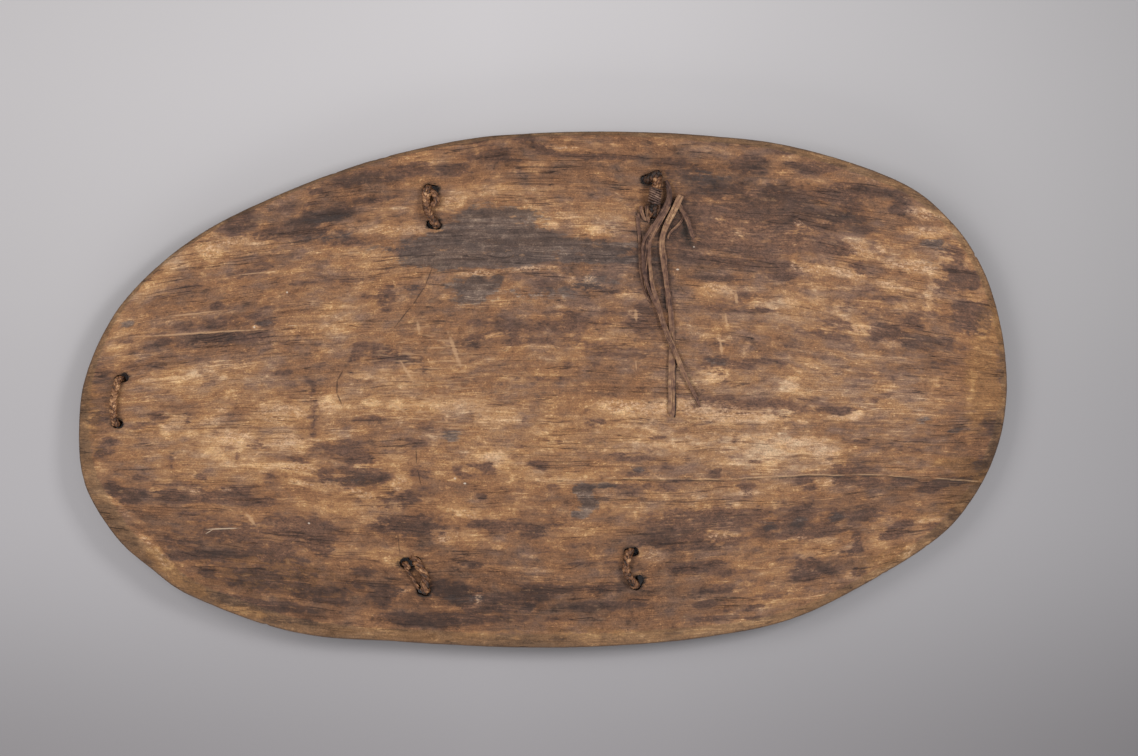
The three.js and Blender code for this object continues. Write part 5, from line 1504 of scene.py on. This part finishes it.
def cord_strands(path, across, radius, kind, turns, tones, seed, strand_share=0.42, sides=14, closed=True,
                 shades=((0, 0), (1, 0)), spots=0.16):
    """The strands of a plaited or twisted cord around its middle line.

    shades changes the tone along the cord, and spots is how much it changes from place to place.
    """
    count = len(path)
    travelled = np.arange(count) / count
    _, side, out = frames_along(path, across, closed=closed)
    uneven = 1 + 0.1 * noise(travelled * 40, 0.3, 3.0, 1.0, seed, 2)
    strand_radius = radius * strand_share
    swing = radius - strand_radius
    shaded = np.interp(travelled, *zip(*shades))
    strands = []
    for k, tone in enumerate(tones):
        wobble = 0.3 * noise(travelled * 40, k, 4.0, 1.0, seed + 3, 2)
        phase = 2 * math.pi * (travelled * turns + k / len(tones)) + wobble
        if kind == "plait":
            lateral, vertical = swing * np.sin(phase), swing * 0.86 * np.sin(2 * phase)
        else:
            lateral, vertical = swing * np.cos(phase), swing * np.sin(phase)
        thick = strand_radius * (1 + 0.14 * noise(travelled * 60, 2.0 + k, 2.0, 1.0, seed + 11, 2))
        if closed:
            # the noise isn't periodic, so the last few points are eased back to the first
            ease = np.clip((travelled - 0.96) / 0.04, 0, 1)
            lateral = lateral * (1 - ease) + lateral[0] * ease
            vertical = vertical * (1 - ease) + vertical[0] * ease
        else:
            rounded = np.clip(np.minimum(travelled, 1 - travelled) / 0.16, 0.02, 1) ** 0.5
            lateral, vertical, thick = lateral * rounded, vertical * rounded, thick * rounded
        line = path + side * (lateral * uneven)[:, None] + out * (vertical * uneven)[:, None]
        shade = tone + shaded + spots * noise(travelled * 60, 5.0 + k, 2.2, 1.0, seed + 17, 3)
        strands.append(sweep(line, across, thick * 1.06, thick * 0.94, shade, closed=closed, sides=sides,
                             lobes=5, lobe_depth=0.09, lobe_twist=900.0))
    return strands


def frayed_fibres(path, across, radius, first, last, count, seed, tone=0.6):
    """Thin broken fibres that stand off a cord between two shares of its path."""
    random = np.random.default_rng(seed)
    _, side, out = frames_along(path, across, closed=True)
    fibres = []
    for _ in range(count):
        begin = int(random.uniform(first, last) * len(path))
        length = int(random.uniform(6, 14))
        points = np.arange(begin, begin + length) % len(path)
        rise = np.linspace(0, 1, length) ** 1.7
        around = random.uniform(-0.2, 1.2) * math.pi
        off = radius * (0.86 + rise * random.uniform(0.25, 0.6))
        line = path[points] + side[points] * (off * math.cos(around))[:, None]
        line = line + out[points] * (off * abs(math.sin(around)))[:, None]
        thin = 0.32 * MM * (1 - 0.75 * rise) * random.uniform(0.8, 1.5)
        fibres.append(sweep(line, across, thin, thin, tone + random.uniform(-0.2, 0.25), sides=6))
    return fibres


# %% [markdown]
# The cords' material is the same kind of dry fibre as the strips. The plaits are warmer, straw to orange
# brown where they were rubbed, and nearly black in the grooves.

# %% Material: plaited vine cord
CORD_STOPS = [(0.0, "#1c120d"), (0.25, "#4a3122"), (0.5, "#7c5439"), (0.75, "#ae825b"), (1.0, "#dab088")]
plaited = fibrous_material("plaited_vine_cord", CORD_STOPS, 7, 6 * MM, 0.5 * MM, 0.52)
print("material", plaited.name)

# %% Looks of the lashings
# the shades darken each loop where it goes into its holes, and the sling's cord from its binding down to its
# lower hole: painted shade; where they rise above zero the cord is paler
LASHING_LOOKS = {
    # kind, turns around the loop, tones of the strands, share of the radius, fibres, shades along it, spots
    "end_loop": ("plait", 12, (0.56, 0.64, 0.44), 0.43, 6,
                 ((0, -0.3), (0.04, 0), (0.3, 0), (0.36, -0.2), (1, 0)), 0.3),
    "upper_left_lashing": ("plait", 11, (0.42, 0.54, 0.34), 0.44, 16,
                           ((0, 0), (0.1, 0.12), (0.2, 0.06), (0.32, -0.1), (1, 0)), 0.3),
    "lower_left_lashing": ("twist", 5, (0.42, 0.3, 0.38), 0.5, 16,
                           ((0, 0), (0.14, 0.14), (0.3, -0.04), (1, 0)), 0.34),
    "lower_right_lashing": ("plait", 9, (0.4, 0.52, 0.34), 0.48, 10,
                            ((0, -0.12), (0.12, 0.04), (0.2, 0.12), (0.3, -0.14), (1, 0)), 0.3),
    "sling_lashing": ("plait", 10, (0.4, 0.52, 0.34), 0.43, 6,
                      ((0, -0.3), (0.03, 0), (0.06, 0.12), (0.12, 0.1), (0.2, -0.3), (0.34, -0.34), (1, 0)),
                      0.25),
}
# short lengths of the same cord that fill the burnt holes beside each lashing: the hole, the route to the
# right, up and above the back in millimetres, the cord's radius and its tone
TUCKED_CORDS = {
    "end_loop": [
        (0, [(3.2, 1.2, -8), (3.2, 1.2, -1), (1.6, 1.0, 2.4), (-0.5, -3.0, 4.0)], 3.0, 0.3)],
    "upper_left_lashing": [
        (0, [(4, 1, -6), (3, 1, -1), (-1, 1.5, 4), (-4, -4, 6.5), (-6, -10, 7)], 3.6, 0.36),
        (0, [(1, -3, 3), (7, -6, 5), (11, -12, 5.5), (10, -18, 5.5), (3, -22, 6)], 4.4, 0.4),
        (1, [(-4.0, 1.0, -9), (-4.0, 1.0, -2), (-2.0, 2.0, 1.0)], 2.6, 0.26)],
    "lower_left_lashing": [
        (0, [(-6.0, 4.4, -8), (-6.0, 4.4, -1), (-4.5, 5.0, 2.6), (1.0, 2.0, 5.0)], 3.4, 0.4),
        (0, [(-14, -2.5, -9), (-14, -3, -2), (-13, -4, 2.4), (-9, -9, 4.5)], 3.6, 0.42),
        (1, [(-5.4, 2.6, -8), (-5.2, 2.8, -2), (-3.0, 3.0, 1.0)], 2.2, 0.3)],
    "lower_right_lashing": [
        (0, [(3.4, 2.2, -8), (3.4, 2.0, -1), (2.0, 2.6, 2.4), (-1.0, -3.0, 5.0)], 3.8, 0.36),
        (1, [(-1, 0, -8), (-2, 0.4, -1), (-4, 1.6, 3), (-8, 7, 5)], 4.4, 0.3)],
    "sling_lashing": [
        (0, [(-12.5, -2.5, -7), (-11.5, -1.4, -1.5), (-9, 0.6, 3), (-4, 3.8, 6), (2, 5.6, 7), (4, 3.4, 8)],
         5.8, 0.12),
        (0, [(-3, -34, 11), (-5, -39, 9), (-7.4, -45, 6), (-8.4, -50, 2)], 2.3, 0.4),
        (0, [(3, -34, 10), (2.4, -40, 7), (0, -46, 4), (-1.4, -51, 1)], 2.0, 0.3)],
}
TUCKED_TURN = 26 * MM  # a twisted cord's length for each turn
print("tucked cords", sum(len(cords) for cords in TUCKED_CORDS.values()))

# %% The four lashings and the sling's cord


def place_near(hole, places):
    """A route given to the right, up and above the back of a hole, in metres on the board."""
    right, up, height = (np.array(places, float) * MM).T
    x, y = hole[0] + right, hole[1] + up
    return np.stack([x, y, back_height(x, y) + height], axis=1)


def add_lashing(number, name, lashing):
    """A lashing's loop, its tucked lengths and its loose fibres, as one piece."""
    radius = lashing["cord"] / 2 * MM
    ends = holes[2 * number][0], holes[2 * number + 1][0]
    lift = SLING_LIFT if name == "sling_lashing" else radius + CORD_GAP
    path, across = loop_path(*ends, radius, lift, lashing["bulge"] * MM)
    kind, turns, tones, share, fibres, shades, spots = LASHING_LOOKS[name]
    strands = cord_strands(path, across, radius, kind, turns, tones, 800 + 10 * number, strand_share=share,
                           shades=shades, spots=spots)
    strands += frayed_fibres(path, across, radius, 0.02, 0.36, fibres, 850 + number)
    for tuck, (end, places, tuck_radius, tone) in enumerate(TUCKED_CORDS[name]):
        route = resample(smooth_curve(place_near(ends[end], places)), CORD_STEP)
        turns = len(route) * CORD_STEP / TUCKED_TURN
        strands += cord_strands(route, across, tuck_radius * MM, "twist", turns, (tone, tone + 0.1, tone),
                                900 + 10 * number + tuck, strand_share=0.52, closed=False)
    build_piece(name + "_cord", strands, plaited, name)
    print(name, "loop of", round(len(path) * CORD_STEP / MM), "mm")


for number, (name, lashing) in enumerate(LASHINGS.items()):
    add_lashing(number, name, lashing)

# %% The thin second strand at the lower left
THIN_RADIUS = 2.2 * MM
thin_upper = holes[4][0] + np.array([-17, -2]) * MM
thin_lower = holes[5][0] + np.array([-9.5, 4]) * MM
path, across = loop_path(thin_upper, thin_lower, THIN_RADIUS, THIN_RADIUS + CORD_GAP, 0)
strands = cord_strands(path, across, THIN_RADIUS, "twist", 6, (0.42, 0.3), 870, strand_share=0.56, sides=10)
build_piece("lower_left_strand_cord", strands, plaited, "lower_left_strand")

# %% [markdown]
# The binding is one length of fine twine wound tightly around the sling's cord. It is a helix, and its
# turns lean a little, as they do when the twine is wound by hand around a flattened cord.

# %% Material and turns of the binding
TWINE_STOPS = [(0.0, "#1c1411"), (0.25, "#402f28"), (0.5, "#664d42"), (0.75, "#8a6d5c"), (1.0, "#b3937b")]
BINDING_TURNS = 6.5
TWINE_LEAN = 2.4 * MM
twine = fibrous_material("wound_bark_twine", TWINE_STOPS, 5, 7 * MM, 0.35 * MM, 0.7)
run_start, run_end = (np.array([*hole, back_height(*hole) + SLING_LIFT])
                      for hole in (holes[8][0], holes[9][0]))
axis = (run_end - run_start) / np.linalg.norm(run_end - run_start)
binding_side = np.cross(axis, (0, 0, 1))
binding_side /= np.linalg.norm(binding_side)
binding_up = np.cross(binding_side, axis)
turn = np.linspace(0, BINDING_TURNS * 2 * math.pi, int(BINDING_TURNS * 40))
twine_radius = BINDING_TWINE / 2
wound = BINDING_LENGTH - 2 * twine_radius
lean = -TWINE_LEAN * np.cos(turn - 0.2) * np.sin(np.linspace(0, math.pi, len(turn))) ** 0.5
along = (np.linspace(-0.5, 0.5, len(turn)) * wound + lean)[:, None]
reach = (BINDING_BORE + twine_radius * (0.98 + 0.1 * noise(turn, 0.2, 2.0, 1.0, 881, 2)))[:, None]
around_axis = binding_side * np.cos(turn)[:, None] + binding_up * np.sin(turn)[:, None]
twine_path = (run_start + run_end) / 2 + axis * along + reach * around_axis
shade = 0.42 + 0.3 * noise(turn, 0.6, 2.0, 1.0, 883, 3)
strands = [sweep(twine_path, axis, twine_radius * 0.86, twine_radius * 0.98, shade, sides=10, lobes=4,
                 lobe_depth=0.06, lobe_twist=700.0)]
build_piece("sling_binding_twine", strands, twine, "sling_binding")
print("twine", round(travelled_along(twine_path)[-1] / MM), "mm long")
